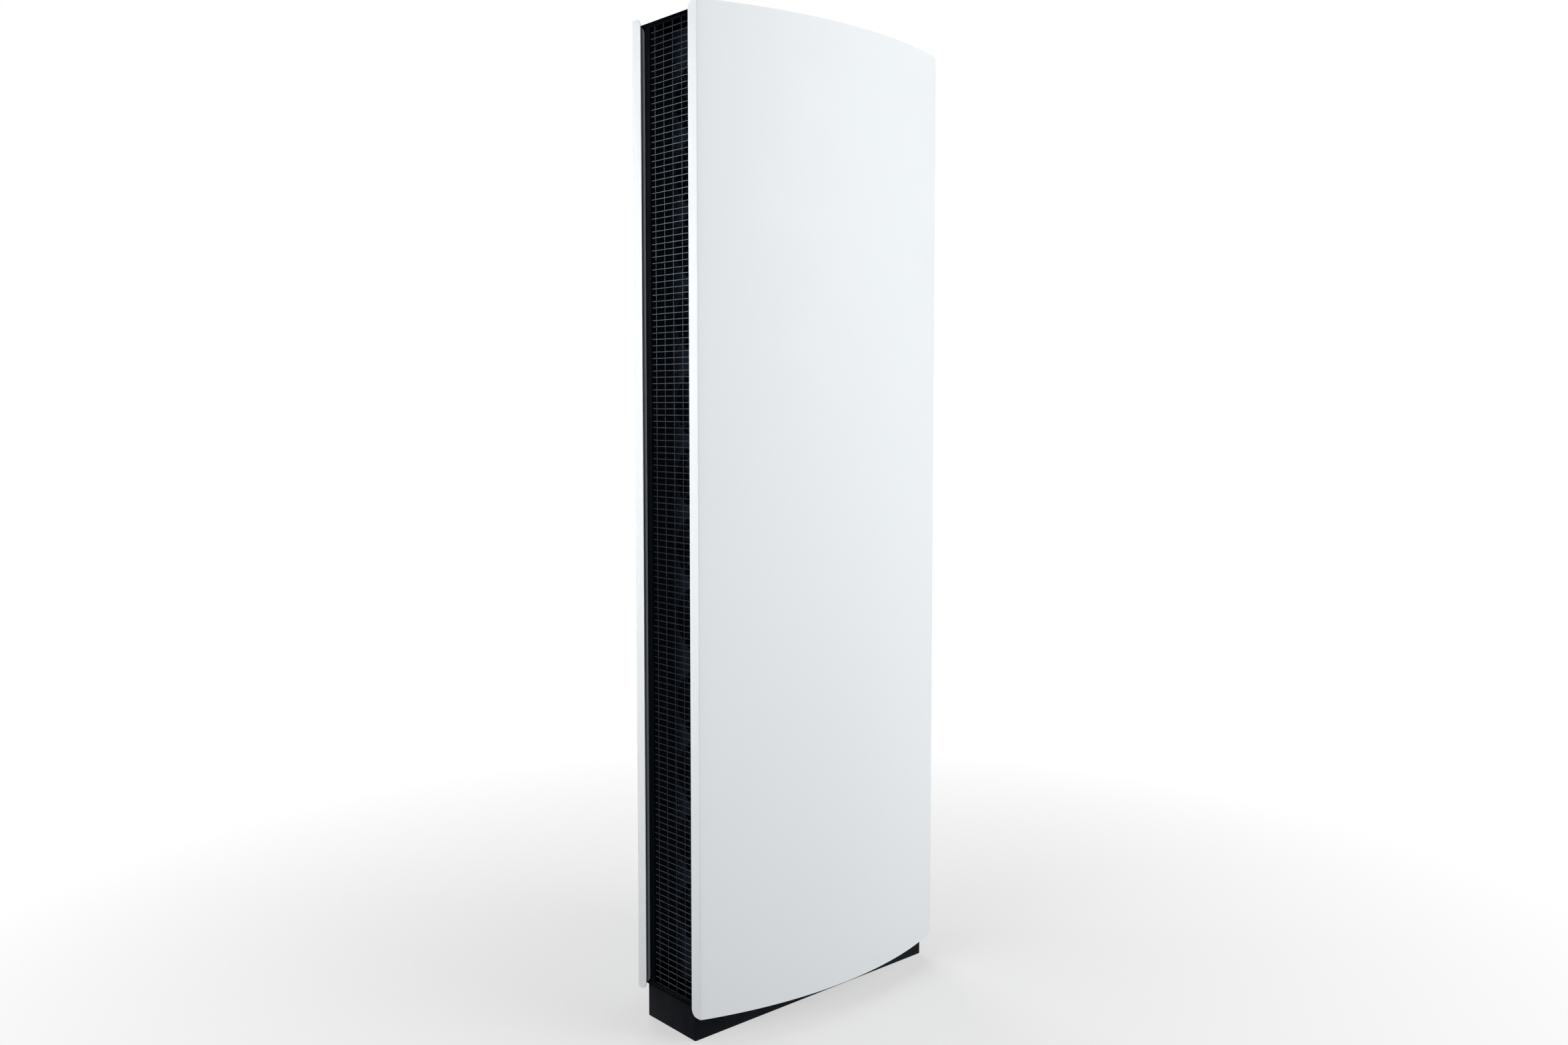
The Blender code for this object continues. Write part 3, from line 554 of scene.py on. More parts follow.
def hexagon(half_across, flat_at=0):
    """The reach of a hexagon that has the middle of a flat at an angle."""
    sixth = pi / 3
    return lambda angle: half_across / cos((angle - flat_at + sixth / 2) % sixth - sixth / 2)


def fluted(radius, depth):
    """The reach of a round knob with 24 flutes."""
    return lambda angle: radius - depth * (0.5 - 0.5 * cos(24 * angle))


def turned_into(bm, profile, steps, centre=(0, 0), place=Matrix()):
    """Turn (along X, radius) pairs about an axis along X; the ends are closed."""
    rings = [x_ring(x, max(radius, 0.01 * MM), steps, centre) for x, radius in profile]
    loft_into(bm, rings, caps=True, place=place)


def stamped(name, stamp, places):
    """One mesh made of copies of a stamp at each place."""
    verts = [vert.co.copy() for vert in stamp.vertices]
    faces = [tuple(face.vertices) for face in stamp.polygons]
    all_verts = []
    all_faces = []
    for place in places:
        base = len(all_verts)
        all_verts.extend(place @ co for co in verts)
        all_faces.extend(tuple(base + i for i in face) for face in faces)
    mesh = bpy.data.meshes.new(name)
    mesh.from_pydata(all_verts, [], all_faces)
    return mesh


def rods(name, lines, steps):
    """One mesh of straight rods: lines are (start, end, radius)."""
    bm = bmesh.new()
    rod_into(bm, 1, (0, 0, -0.5), (0, 0, 0.5), steps)
    places = []
    for start, end, radius in lines:
        start, end = Vector(start), Vector(end)
        size = Matrix.Diagonal((radius, radius, (end - start).length, 1))
        places.append(facing((start + end) / 2, end - start) @ size)
    return stamped(name, finished(bm, "unit_rod"), places)


def curve_mesh(name, lines, merge, place=Matrix(), **settings):
    """The mesh of a curve that runs straight from point to point."""
    curve = bpy.data.curves.new(name, "CURVE")
    for key, value in settings.items():
        setattr(curve, key, value)
    for points in lines:
        line = curve.splines.new("POLY")
        line.points.add(len(points) - 1)
        line.use_cyclic_u = curve.dimensions == "2D"
        for spot, point in zip(line.points, points):
            spot.co = (*point, 1)
    guide = new_object(name, curve)
    graph = bpy.context.evaluated_depsgraph_get()
    mesh = bpy.data.meshes.new_from_object(guide.evaluated_get(graph), depsgraph=graph)
    bpy.data.objects.remove(guide)
    mesh.transform(place)
    bm = bmesh.new()
    bm.from_mesh(mesh)
    bmesh.ops.remove_doubles(bm, verts=bm.verts, dist=merge)
    return finished(bm, name)


def tube_mesh(name, points, radius, steps):
    """A round tube along a smooth line of points, with its ends closed."""
    return curve_mesh(name, [points], 0.01 * MM, dimensions="3D", bevel_depth=radius,
                      bevel_resolution=steps, use_fill_caps=True)


def plate_mesh(name, outlines, thickness, place):
    """A flat plate from closed outlines (the first is its edge, the others are holes)."""
    flat = [[(a, b, 0) for a, b in pairs] for pairs in outlines]
    return curve_mesh(name, flat, 0.005 * MM, place, dimensions="2D", fill_mode="BOTH",
                      extrude=thickness / 2)


def rounded_rectangle(low, high, radius):
    """Corner-rounded outline between two corners of a plane, as pairs."""
    far_a, far_b = high[0] - radius, high[1] - radius
    near_a, near_b = low[0] + radius, low[1] + radius
    corners = ((far_a, far_b), (near_a, far_b), (near_a, near_b), (far_a, near_b))
    points = []
    for number, centre in enumerate(corners):
        points += arc(centre, radius, QUARTER * number, QUARTER, 6)
    return points


def soften(piece, width=EDGE_ROUNDING, segments=2):
    """Round a piece's sharp edges a little, so that they catch the light."""
    weld = piece.modifiers.new("weld", "WELD")
    weld.merge_threshold = 0.01 * MM
    mod = piece.modifiers.new("edges", "BEVEL")
    mod.width = width
    mod.segments = segments
    mod.limit_method = "ANGLE"
    mod.angle_limit = radians(32)
    mod.harden_normals = True
    return piece


def paint_nodes(names, material, width=EDGE_ROUNDING):
    """Give CAD nodes their finish and soft edges, and keep their shapes."""
    for name in names:
        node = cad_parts[name]
        node.data.materials.clear()
        node.data.materials.append(material)
        node.data.shade_smooth()
        node.data.set_sharp_from_angle(angle=radians(32))
        soften(node, width)


def middle_of(node):
    low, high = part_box(node)
    return (low + high) / 2


# ---------------------------------------------------------------- sheet metal

def free_edge(x, y_free):
    """Stations across a lip with rounded corners: (x, |y|, how far it stops short)."""
    corner = arc((y_free + FREE_CORNER, FREE_CORNER), -FREE_CORNER, 0, QUARTER, 14)
    return [(x, y, drop) for y, drop in corner]


def folded_sheet(node, side, stations, body, material, inside_painted_shade=None):
    """A sheet along a line in plan, mirrored left to right, on the front (-1) or back (+1).

    An inside painted shade, if given, is the finish of its inner face, where that differs from
    the outer one: a dark tone that paints the shade inside the case."""
    low, high = (corner.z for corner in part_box(node))
    left = [((x, side * y, low + drop), (x, side * y, high - drop)) for x, y, drop in stations]
    right = [((-a[0], a[1], a[2]), (-b[0], b[1], b[2])) for a, b in reversed(left)]
    if abs(stations[-1][0]) < MM:
        right = right[1:]
    bm = bmesh.new()
    lines = [(bm.verts.new(a), bm.verts.new(b)) for a, b in left + right]
    for (a0, a1), (b0, b1) in zip(lines, lines[1:]):
        bm.faces.new((a0, b0, b1, a1) if side < 0 else (a0, a1, b1, b0))
    mesh = bpy.data.meshes.new(node + "_sheet")
    bm.to_mesh(mesh)
    bm.free()
    piece = add_piece(node + "_sheet", mesh, material, body, (node,), sharp=25)
    thick = piece.modifiers.new("thickness", "SOLIDIFY")
    thick.thickness = SHEET
    thick.offset = -1
    thick.use_even_offset = True
    # The inner face takes the painted shade of the inside of the case.
    if inside_painted_shade:
        mesh.materials.append(inside_painted_shade)
        thick.material_offset = 1
    soften(piece)


def make_white_panel(node, side):
    """A bowed face between two side flanges, with rounded free corners."""
    low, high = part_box(node)
    half_width = high.x
    near, far = sorted((abs(low.y), abs(high.y)))
    fold = far - PANEL_BOW
    radius = (half_width ** 2 + PANEL_BOW ** 2) / (2 * PANEL_BOW)
    edge = atan2(half_width, radius - PANEL_BOW)
    corner = arc((PANEL_BEND - half_width, fold - PANEL_BEND), PANEL_BEND, pi,
                 edge - QUARTER, 8)
    bow = arc((0, far - radius), radius, QUARTER + edge, -edge, BOW_STEPS)
    stations = free_edge(-half_width, near) + [(x, y, 0) for x, y in corner + bow[1:]]
    folded_sheet(node, side, stations, node, WHITE)


def make_wrapping_cover(node, side, body):
    """The sheet across the case with a lip round each side of it."""
    low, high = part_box(node)
    near, far = sorted((abs(low.y), abs(high.y)))
    corner = arc((low.x + COVER_BEND, far - COVER_BEND), COVER_BEND, pi, -QUARTER, 4)
    stations = free_edge(low.x, near) + [(x, y, 0) for x, y in corner]
    # Grey outside; the inner face takes the painted shade of the inside of the case.
    folded_sheet(node, side, stations, body, GREY, INSIDE_PAINTED_SHADE)


def make_shells():
    make_white_panel("front_panel", -1)
    make_white_panel("rear_panel", 1)
    make_wrapping_cover("front_cover", -1, "front_cover")
    make_wrapping_cover("back_wall", 1, CASE)
    paint_nodes(("floor_plate", "roof_plate", "left_side", "right_side"), BLACK)
    # The plinth's lighter black carries painted sheen.
    paint_nodes(("plinth",), PLINTH_BLACK_PAINTED_SHEEN)
    paint_nodes(("front_rail_lower", "front_rail_upper", "rear_rail_lower", "rear_rail_upper",
                 "foot_bar_left", "foot_bar_right"), ZINC)
    paint_nodes(("shelf_1", "shelf_2", "shelf_3", "shelf_4"), ZINC, 0.2 * MM)


def rail_faces(end):
    """How far out each of an end's two rails reaches, and the height of its middle."""
    for level in ("lower", "upper"):
        low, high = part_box("%s_rail_%s" % (end, level))
        yield max(abs(low.y), abs(high.y)), (low.z + high.z) / 2


def make_panel_catches():
    """Magnet catches on stand-offs inside each white panel, one at each rail's end."""
    profile = ((0.4, 9), (4, 9), (4, 11), (8, 11), (8, 5), (15, 5))
    for side, end in ((-1, "front"), (1, "rear")):
        bm = bmesh.new()
        for rail_face, height in rail_faces(end):
            spots = [(rail_face + out * MM, radius * MM) for out, radius in profile]
            for x in CATCHES_X:
                place = Matrix.Translation((x, 0, height))
                turned_into(bm, spots, 28, place=place @ Matrix.Rotation(side * QUARTER, 4, "Z"))
        soften(add_piece(end + "_panel_catches", bm, STEEL, end + "_panel"), 0.25 * MM)


# ---------------------------------------------------------------- welded mesh

def make_wire_mesh(side, sign):
    """Level wires outside, uprights behind them, and a small weld at every crossing."""
    node = side + "_mesh"
    low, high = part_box(node)
    first = (low.z + high.z) / 2 - LEVEL_PITCH * (LEVEL_WIRES - 1) / 2
    heights = [first + LEVEL_PITCH * i for i in range(LEVEL_WIRES)]
    uprights = [UPRIGHT_PITCH * (i - (UPRIGHTS - 1) / 2) for i in range(UPRIGHTS)]
    outer = sign * (max(abs(low.x), abs(high.x)) - WIRE_RADIUS)
    inner = outer - sign * 0.9 * (WIRE_RADIUS + UPRIGHT_RADIUS)
    lines = [((outer, low.y, z), (outer, high.y, z), WIRE_RADIUS) for z in heights]
    lines += [((inner, y, low.z), (inner, y, high.z), UPRIGHT_RADIUS) for y in uprights]
    add_piece(node + "_wires", rods(node + "_wires", lines, 10), WIRE, CASE, (node,))
    bead = bmesh.new()
    bmesh.ops.create_uvsphere(bead, u_segments=8, v_segments=5, radius=1)
    size = Matrix.Diagonal((1.1 * WELD_RADIUS, WELD_RADIUS, WELD_RADIUS, 1))
    middle = (outer + inner) / 2
    spots = [Matrix.Translation((middle, y, z)) @ size for z in heights for y in uprights]
    welds = stamped(node + "_welds", finished(bead, "bead"), spots)
    add_piece(node + "_welds", welds, STEEL_DULL, CASE, sharp=80)


# ---------------------------------------------------------------- screws

def screws(name, radius, height, spots, body, material=STEEL):
    """Equal button heads with hexagon sockets: spots are (point, direction of the head)."""
    head = ((1.0, 0.0), (1.0, 0.25), (0.93, 0.6), (0.78, 0.86), (0.62, 0.98), (0.52, 1.0))
    socket = hexagon(0.45 * radius * cos(pi / 6), pi / 6)
    profile = [(height * up, radius * share) for share, up in head]
    profile += [(height, socket), (0.35 * height, socket)]
    stamp = finished(lofted(z_rings(profile, 24), caps=True), name + "_stamp")
    mesh = stamped(name, stamp, [facing(point, way) for point, way in spots])
    add_piece(name, mesh, material, body)


def make_case_screws():
    """Screws of the roof, the back wall, the front cover and the rails."""
    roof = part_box("roof_plate")[1].z - MM
    spots = [((x, y, roof), (0, 0, 1)) for x in ROOF_SCREWS_X for y in ROOF_SCREWS_Y]
    screws("roof_screws", 4 * MM, 1.7 * MM, spots, CASE, BLACK_SCREW)
    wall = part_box("back_wall")[1].y
    spots = [((x, wall, z), (0, 1, 0)) for z in WALL_SCREWS_Z for x in WALL_SCREWS_X]
    screws("back_wall_screws", 4 * MM, 2.2 * MM, spots, CASE, BLACK_SCREW)
    for end, side, body in (("front", -1, "front_cover"), ("rear", 1, CASE)):
        spots = [((x, side * face, height), (0, side, 0)) for face, height in rail_faces(end)
                 for x in RAIL_SCREWS_X]
        screws(end + "_rail_screws", 4.5 * MM, 2.4 * MM, spots, body)


def make_cover_fasteners():
    """Knurled quarter-turn knobs that hold the front cover."""
    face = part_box("front_cover")[0].y
    profile = ((0, 11, 0), (1.2, 11, 0), (1.2, 8.8, 0), (2.4, 8.58, 0.5), (8, 8.58, 0.5),
               (9, 7.48, 0), (9.2, 3.3, 0), (8.4, 2.64, 0))
    bm = bmesh.new()
    for x in KNOBS_X:
        for z in KNOBS_Z:
            loft_into(bm, [[(a, face - out * MM, b) for a, b in
                            outline(fluted(radius * MM, knurl * MM), 48, (x, z))]
                           for out, radius, knurl in profile], caps=True)
    add_piece("cover_fasteners", bm, PLASTIC, "front_cover", sharp=40)


# ---------------------------------------------------------------- fans

def fan_middles(storey):
    """The heights of the fans' axes, evenly spaced about the middle of a storey's tray."""
    middle = middle_of("fan_tray_%d" % storey).z
    return [middle + (place - (FANS_PER_STOREY - 1) / 2) * FAN_PITCH
            for place in range(FANS_PER_STOREY)]


def all_fan_middles():
    return [z for storey in range(1, STOREYS + 1) for z in fan_middles(storey)]


def square_flange(angle):
    """The reach of a fan's square flange, with its corners cut round."""
    reach = FAN_HALF / max(abs(cos(angle)), abs(sin(angle)))
    return min(reach, FAN_HALF * sqrt(2) - 3 * MM)


def fan_housing_into(bm, x0, x1, z):
    """Two flanges joined by a round duct, with a flared mouth, bosses, struts and motor."""
    flange = 3.5 * MM
    duct = FAN_BORE + 2.6 * MM
    profile = [(x0, square_flange), (x0 + flange, square_flange), (x0 + flange, duct),
               (x1 - flange, duct), (x1 - flange, square_flange), (x1, square_flange)]
    for share in range(5):
        angle = QUARTER * share / 4
        profile.append((x1 - 4 * MM * (1 - cos(angle)),
                        FAN_BORE + 2 * MM * (1 - sin(angle))))
    profile += [(x0 + 2 * MM, FAN_BORE), (x0, FAN_BORE + MM)]
    loft_into(bm, [x_ring(x, reach, 96, (0, z)) for x, reach in profile], closed=True)
    boss = FAN_SCREW * 0.955
    for y in (-boss, boss):
        for up in (-boss, boss):
            rod_into(bm, 4 * MM, (x0 + MM, y, z + up), (x1 - MM, y, z + up), 16)
    inner, skew = 26 * MM, 0.035
    strut = ((0.6, -2.6), (1.6, -3.2), (5.3, -1.6), (5.6, 0.4), (3.4, 2.2), (1.2, 2.8))
    for arm in range(4):
        turn = Matrix.Rotation(pi / 4 + arm * QUARTER, 4, "X")
        loft_into(bm, [[(x0 + x * MM, out, side * MM + skew * (out - inner))
                        for x, side in strut] for out in (22 * MM, 45 * MM, FAN_BORE + MM)],
                  caps=True, place=Matrix.Translation((0, 0, z)) @ turn)
    cup = ((0.5, 0.05), (0.5, 22), (1.3, 26), (2.5, 27), (6.6, 27), (6.6, 0.05))
    turned_into(bm, [(x0 + x * MM, radius * MM) for x, radius in cup], 48, (0, z))


def make_fan_tray(storey):
    """Four housings on one backing sheet."""
    node = "fan_tray_%d" % storey
    low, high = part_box(node)
    bm = bmesh.new()
    for z in fan_middles(storey):
        fan_housing_into(bm, low.x + 1.1 * MM, high.x, z)
    soften(add_piece(node + "_housings", bm, FAN_PLASTIC, CASE, (node,)), 0.25 * MM, 1)
    outlines = [rounded_rectangle((low.y, low.z), (high.y, high.z), 3 * MM)]
    outlines += [outline(FAN_BORE + MM, 64, (0, z)) for z in fan_middles(storey)]
    place = Matrix.Translation((low.x + 0.5 * MM, 0, 0)) @ STAND
    sheet = plate_mesh(node + "_backing", outlines, MM, place)
    add_piece(node + "_backing", sheet, FAN_PLASTIC, CASE)


def make_fan_plate():
    """The bulkhead with a smooth hole for each fan, and the fans' screws in it."""
    low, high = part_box("fan_plate")
    outlines = [rounded_rectangle((low.y, low.z), (high.y, high.z), 2 * MM)]
    outlines += [outline(FAN_BORE, 80, (0, z)) for z in all_fan_middles()]
    place = Matrix.Translation(((low.x + high.x) / 2, 0, 0)) @ STAND
    mesh = plate_mesh("fan_bulkhead", outlines, high.x - low.x, place)
    # The bulkhead takes the painted shade of the inside of the case.
    soften(add_piece("fan_bulkhead", mesh, INSIDE_PAINTED_SHADE, CASE, ("fan_plate",)))
    spots = [((low.x, y, z + up), (-1, 0, 0)) for z in all_fan_middles()
             for y in (-FAN_SCREW, FAN_SCREW) for up in (-FAN_SCREW, FAN_SCREW)]
    screws("fan_screws", 2.4 * MM, 1.6 * MM, spots, CASE, STEEL_DULL)


def blade_into(bm, number, depth):
    """One swept blade with an aerofoil's thickness, as a closed shell."""
    along_steps, out_steps = 12, 8
    root, tip = 24 * MM, 64.3 * MM
    sweep, skew = radians(44), radians(12)
    lean, hollow = 15 * MM, 1.8 * MM
    heading = 2 * pi * number / BLADES
    nudge = 0.01

    def middle(u, v):
        radius = root + (tip - root) * v
        turn = heading + sweep * u + skew * v
        x = depth / 2 + lean * (1.15 - 0.3 * v) * (u - 0.5) - hollow * sin(pi * u)
        return Vector((x, radius * cos(turn), radius * sin(turn)))

    def skin(u, v, sign):
        across = middle(u + nudge, v) - middle(u - nudge, v)
        outward = middle(u, v + nudge) - middle(u, v - nudge)
        thick = 0.35 + 0.85 * sqrt(sin(pi * min(u * 0.85 + 0.15, 1)))
        return middle(u, v) + across.cross(outward).normalized() * sign * thick * MM

    shell_into(bm, [[[skin(i / along_steps, j / out_steps, sign)
                      for i in range(along_steps + 1)] for j in range(out_steps + 1)]
                    for sign in (-1, 1)])


def make_impellers():
    """Hub cup and seven blades, once as a mesh, placed on every fan's axis."""
    low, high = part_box("impeller_01")
    depth = high.x - low.x
    bm = bmesh.new()
    hub = [(0, 0), (0, 22.5 * MM), (0, 24.6 * MM), (0, 26 * MM), (depth - 5 * MM, 26 * MM),
           (depth - 2.2 * MM, 25 * MM), (depth - 0.6 * MM, 22.6 * MM), (depth, 19 * MM),
           (depth, 12 * MM), (depth - 1.2 * MM, 11.2 * MM), (depth - 1.2 * MM, 0)]
    turned_into(bm, hub, 56)
    for number in range(BLADES):
        blade_into(bm, number, depth)
    mesh = finished(bm, "impeller_form")
    for number, z in enumerate(all_fan_middles(), start=1):
        node = "impeller_%02d" % number
        add_piece(node + "_wheel", mesh, FAN_PLASTIC, node, (node,), (low.x, 0, z), 38)


# ---------------------------------------------------------------- filters

def frame_tube(low, high, rim):
    """A frame open along X: four walls of equal thickness as one closed shape."""
    def ring(x, inset):
        return [(x, low.y + inset, low.z + inset), (x, high.y - inset, low.z + inset),
                (x, high.y - inset, high.z - inset), (x, low.y + inset, high.z - inset)]
    return lofted([ring(low.x, 0), ring(high.x, 0), ring(high.x, rim), ring(low.x, rim)],
                  closed=True)


def make_frame(node, low, high, rim, material):
    tube = frame_tube(low, high, rim)
    soften(add_piece(node + "_frame", tube, material, node, (node,)), MM, 3)


def make_strap(node):
    """A flat pull strap on the cassette's front, held by two riveted plates."""
    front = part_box(node)[0].y
    middle = middle_of(node)
    x, z = middle.x, middle.z
    half, half_width, thickness = 62 * MM, 12.5 * MM, 0.9 * MM
    steps = 24
    line = []
    for i in range(steps + 1):
        share = i / steps
        lift = 1.5 * MM * sin(pi * share) ** 0.6 if 0 < share < 1 else 0
        line.append((front + 2.4 * MM - lift, z - half + 2 * half * share))
    edge = line + [(y + thickness, up) for y, up in reversed(line)]
    band = lofted([stood_at(x + side, edge) for side in (-half_width, half_width)], caps=True)
    add_piece(node + "_strap", band, WEBBING, node)
    bm = bmesh.new()
    for up in (z - half, z + half):
        block_into(bm, (x, front, up), (-15, 0.9, -7), (15, 2.3, 7), 0.5)
        for side in (x - 9 * MM, x + 9 * MM):
            rod_into(bm, 2.2 * MM, (side, front + 1.2 * MM, up), (side, front + 0.2 * MM, up),
                     20, 1.4 * MM)
    add_piece(node + "_strap_plates", bm, STEEL, node)


def make_arrow(node):
    """A plain arrow in the direction of the air, printed on the cassette's front."""
    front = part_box(node)[0].y
    middle = middle_of(node)
    corners = ((30, -4), (30, 4), (-8, 4), (-8, 12), (-30, 0), (-8, -12), (-8, -4))
    pairs = [(middle.x + a * MM, middle.z + ARROW_RISE + b * MM) for a, b in corners]
    place = Matrix(((1, 0, 0, 0), (0, 0, -1, front + 2.9 * MM), (0, 1, 0, 0), (0, 0, 0, 1)))
    name = node + "_arrow"
    add_piece(name, plate_mesh(name, [pairs], 0.3 * MM, place), PRINT, node)


def make_pleats(node, low, high, pitch, depth):
    """A block of pleated paper: folds on both faces, with rounded tips."""
    count = round((high.y - low.y) / pitch)
    half = (high.y - low.y) / count / 2
    fold = ((depth, -0.94), (0.6 * MM, -0.2), (0, 0), (0.6 * MM, 0.2), (depth, 0.94))
    middles = [low.y + (high.y - low.y) * (i + 0.5) / count for i in range(count)]
    left = [(low.x + inward, y + share * half) for y in middles for inward, share in fold]
    right = [(high.x - inward, y + share * half) for y in middles for inward, share in fold]
    levels = 30
    rings = []
    for number in range(levels + 1):
        z = low.z + (high.z - low.z) * number / levels
        sway = 0.25 * MM * sin(number * 2.4)
        rings.append([(x, y + sway, z) for x, y in left + right[::-1]])
    add_piece(node + "_pleats", lofted(rings, caps=True), PAPER, node, sharp=50)


def make_hepa_cassette(storey):
    """Framed deep-pleat HEPA block with seal, spacer threads, strap and air arrow."""
    node = "hepa_cassette_%d" % storey
    low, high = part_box(node)
    face = Vector((low.x + 4 * MM, low.y + 3 * MM, low.z))
    make_frame(node, face, high, RIM, ALUMINIUM)
    inset = Vector((7 * MM, RIM - MM, RIM - MM))
    near, far = face + inset, high - inset
    make_pleats(node, near, far, 6.5 * MM, 26 * MM)
    lines = []
    for i in range(1, THREADS + 1):
        z = low.z + RIM + THREAD_PITCH * i
        lines += [((x, near.y, z), (x, far.y, z), THREAD_RADIUS)
                  for x in (near.x - 0.2 * MM, far.x + 0.2 * MM)]
    add_piece(node + "_threads", rods(node + "_threads", lines, 6), THREAD, node)
    seal = frame_tube(low + Vector((0, 2, 2)) * MM,
                      Vector((low.x + 4.4 * MM, high.y - 2 * MM, high.z - 2 * MM)), 9 * MM)
    soften(add_piece(node + "_seal", seal, GASKET, node), 1.2 * MM, 3)
    make_strap(node)
    make_arrow(node)


def cell_into(bm, x, way, y, z, reach):
    """One hexagon cell, open to one side, with a floor of granules (second material)."""
    loops = []
    for share, depth in ((1.0, 0), (0.9, 0), (0.9, 5 * MM)):
        pairs = [(y + share * reach * sin(radians(60 * i)),
                  z + share * reach * cos(radians(60 * i))) for i in range(6)]
        loops.append([bm.verts.new(point) for point in stood_at(x + way * depth, pairs)])
    for a, b in zip(loops, loops[1:]):
        for i in range(6):
            bm.faces.new((a[i], a[i - 1], b[i - 1], b[i]))
    bm.faces.new(loops[-1]).material_index = 1


def honeycomb_mesh(name, low, high, x, way):
    """A sheet of hexagon cells at x, open to one side of it."""
    reach = CELL / sqrt(3)
    rise = 1.5 * reach
    rows = int((high.z - low.z) / rise)
    columns = int((high.y - low.y) / CELL)
    start_z = (low.z + high.z) / 2 - (rows - 1) / 2 * rise
    start_y = (low.y + high.y) / 2 - (columns - 1) / 2 * CELL - CELL / 4
    bm = bmesh.new()
    for row in range(rows):
        for column in range(columns):
            y = start_y + CELL * (column + 0.5 * (row % 2))
            cell_into(bm, x, way, y, start_z + rise * row, reach)
    bmesh.ops.remove_doubles(bm, verts=bm.verts, dist=0.02 * MM)
    mesh = finished(bm, name)
    mesh.materials.append(PLASTIC)
    mesh.materials.append(CARBON)
    return mesh


def make_carbon_cassette(storey):
    """Two honeycomb grids that hold a bed of granules, in a frame."""
    node = "carbon_cassette_%d" % storey
    low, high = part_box(node)
    front = Vector((low.x, low.y + 3 * MM, low.z))
    make_frame(node, front, high, RIM, BLACK_FRAME)
    inset = Vector((0, RIM - 4 * MM, RIM - 4 * MM))
    for label, x, way in (("left", low.x + 3 * MM, 1), ("right", high.x - 3 * MM, -1)):
        name = "%s_grid_%s" % (node, label)
        mesh = honeycomb_mesh(name, front + inset, high - inset, x, way)
        add_piece(name, mesh, CARBON, node, sharp=20)
    make_strap(node)


def make_foam_mat(node, low, high):
    """A washable mat, a little wavy on both faces."""
    rows, columns = 90, 24

    def skin(x, inward, i, j):
        y = low.y + (high.y - low.y) * i / columns
        z = low.z + (high.z - low.z) * j / rows
        wave = sin(y * 190 + 3 * sin(z * 31)) * sin(z * 140 + y * 60)
        return x + inward * (0.9 + 0.7 * wave) * MM, y, z

    bm = bmesh.new()
    shell_into(bm, [[[skin(x, inward, i, j) for i in range(columns + 1)]
                     for j in range(rows + 1)] for x, inward in ((low.x, 1), (high.x, -1))])
    add_piece(node + "_foam", bm, FOAM, node)


def make_prefilter(storey):
    """A foam mat in a thin frame, held by a few crossed wires on both faces."""
    node = "prefilter_%d" % storey
    low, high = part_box(node)
    front = Vector((low.x, low.y + 1.5 * MM, low.z))
    make_frame(node, front, high, 9 * MM, ALUMINIUM)
    inset = Vector((4, 8, 8)) * MM
    near, far = front + inset, high - inset
    make_foam_mat(node, near, far)
    levels = [near.z + (far.z - near.z) * i / 10 for i in range(1, 10)]
    radius = 0.8 * MM
    lines = []
    for x in (low.x + 2.6 * MM, high.x - 2.6 * MM):
        lines += [((x, near.y, z), (x, far.y, z), radius) for z in levels]
        lines += [((x, y, near.z), (x, y, far.z), radius) for y in (-28 * MM, 28 * MM)]
    add_piece(node + "_wires", rods(node + "_wires", lines, 8), STEEL_DULL, node)
    bm = bmesh.new()
    middle = (low.x + high.x) / 2
    for z in (low.z + GRIP_INSET, high.z - GRIP_INSET):
        block_into(bm, (middle, low.y, z), (-5, 0.2, -16), (5, 2, 16), 0.7)
    add_piece(node + "_grips", bm, PLASTIC, node)


def make_runners():
    """Upright strips on the shelves, above and below, that the cassettes slide between."""
    bm = bmesh.new()
    for number in range(1, STOREYS + 2):
        low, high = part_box("shelf_%d" % number)
        for x in RUNNERS_X:
            spans = []
            if number <= STOREYS:
                spans.append((high.z, high.z + RUNNER_HEIGHT))
            if number > 1:
                spans.append((low.z - RUNNER_HEIGHT, low.z))
            for bottom, top in spans:
                box_into(bm, (x - 0.6 * MM, low.y + 4 * MM, bottom),
                         (x + 0.6 * MM, high.y - 4 * MM, top), 0.4 * MM)
    add_piece("cassette_runners", bm, ZINC, CASE)


# ---------------------------------------------------------------- feet

def thread(z, crest, pitch):
    """The reach of a threaded rod's outline at a height."""
    groove = 0.75 * MM
    return lambda angle: crest - groove * abs(((z / pitch - angle / (2 * pi)) % 1) * 2 - 1)


def threaded_mesh(name, radius, bottom, top, pitch):
    """A stud with a rolled thread: one helical groove round it, along Z."""
    rows = int((top - bottom) / (pitch / 4))
    rings = []
    for j in range(rows + 1):
        z = bottom + (top - bottom) * j / rows
        crest = radius - (0.7 * MM if j in (0, rows) else 0)
        rings += z_rings([(z, thread(z, crest, pitch))], 24)
    return finished(lofted(rings, caps=True), name)


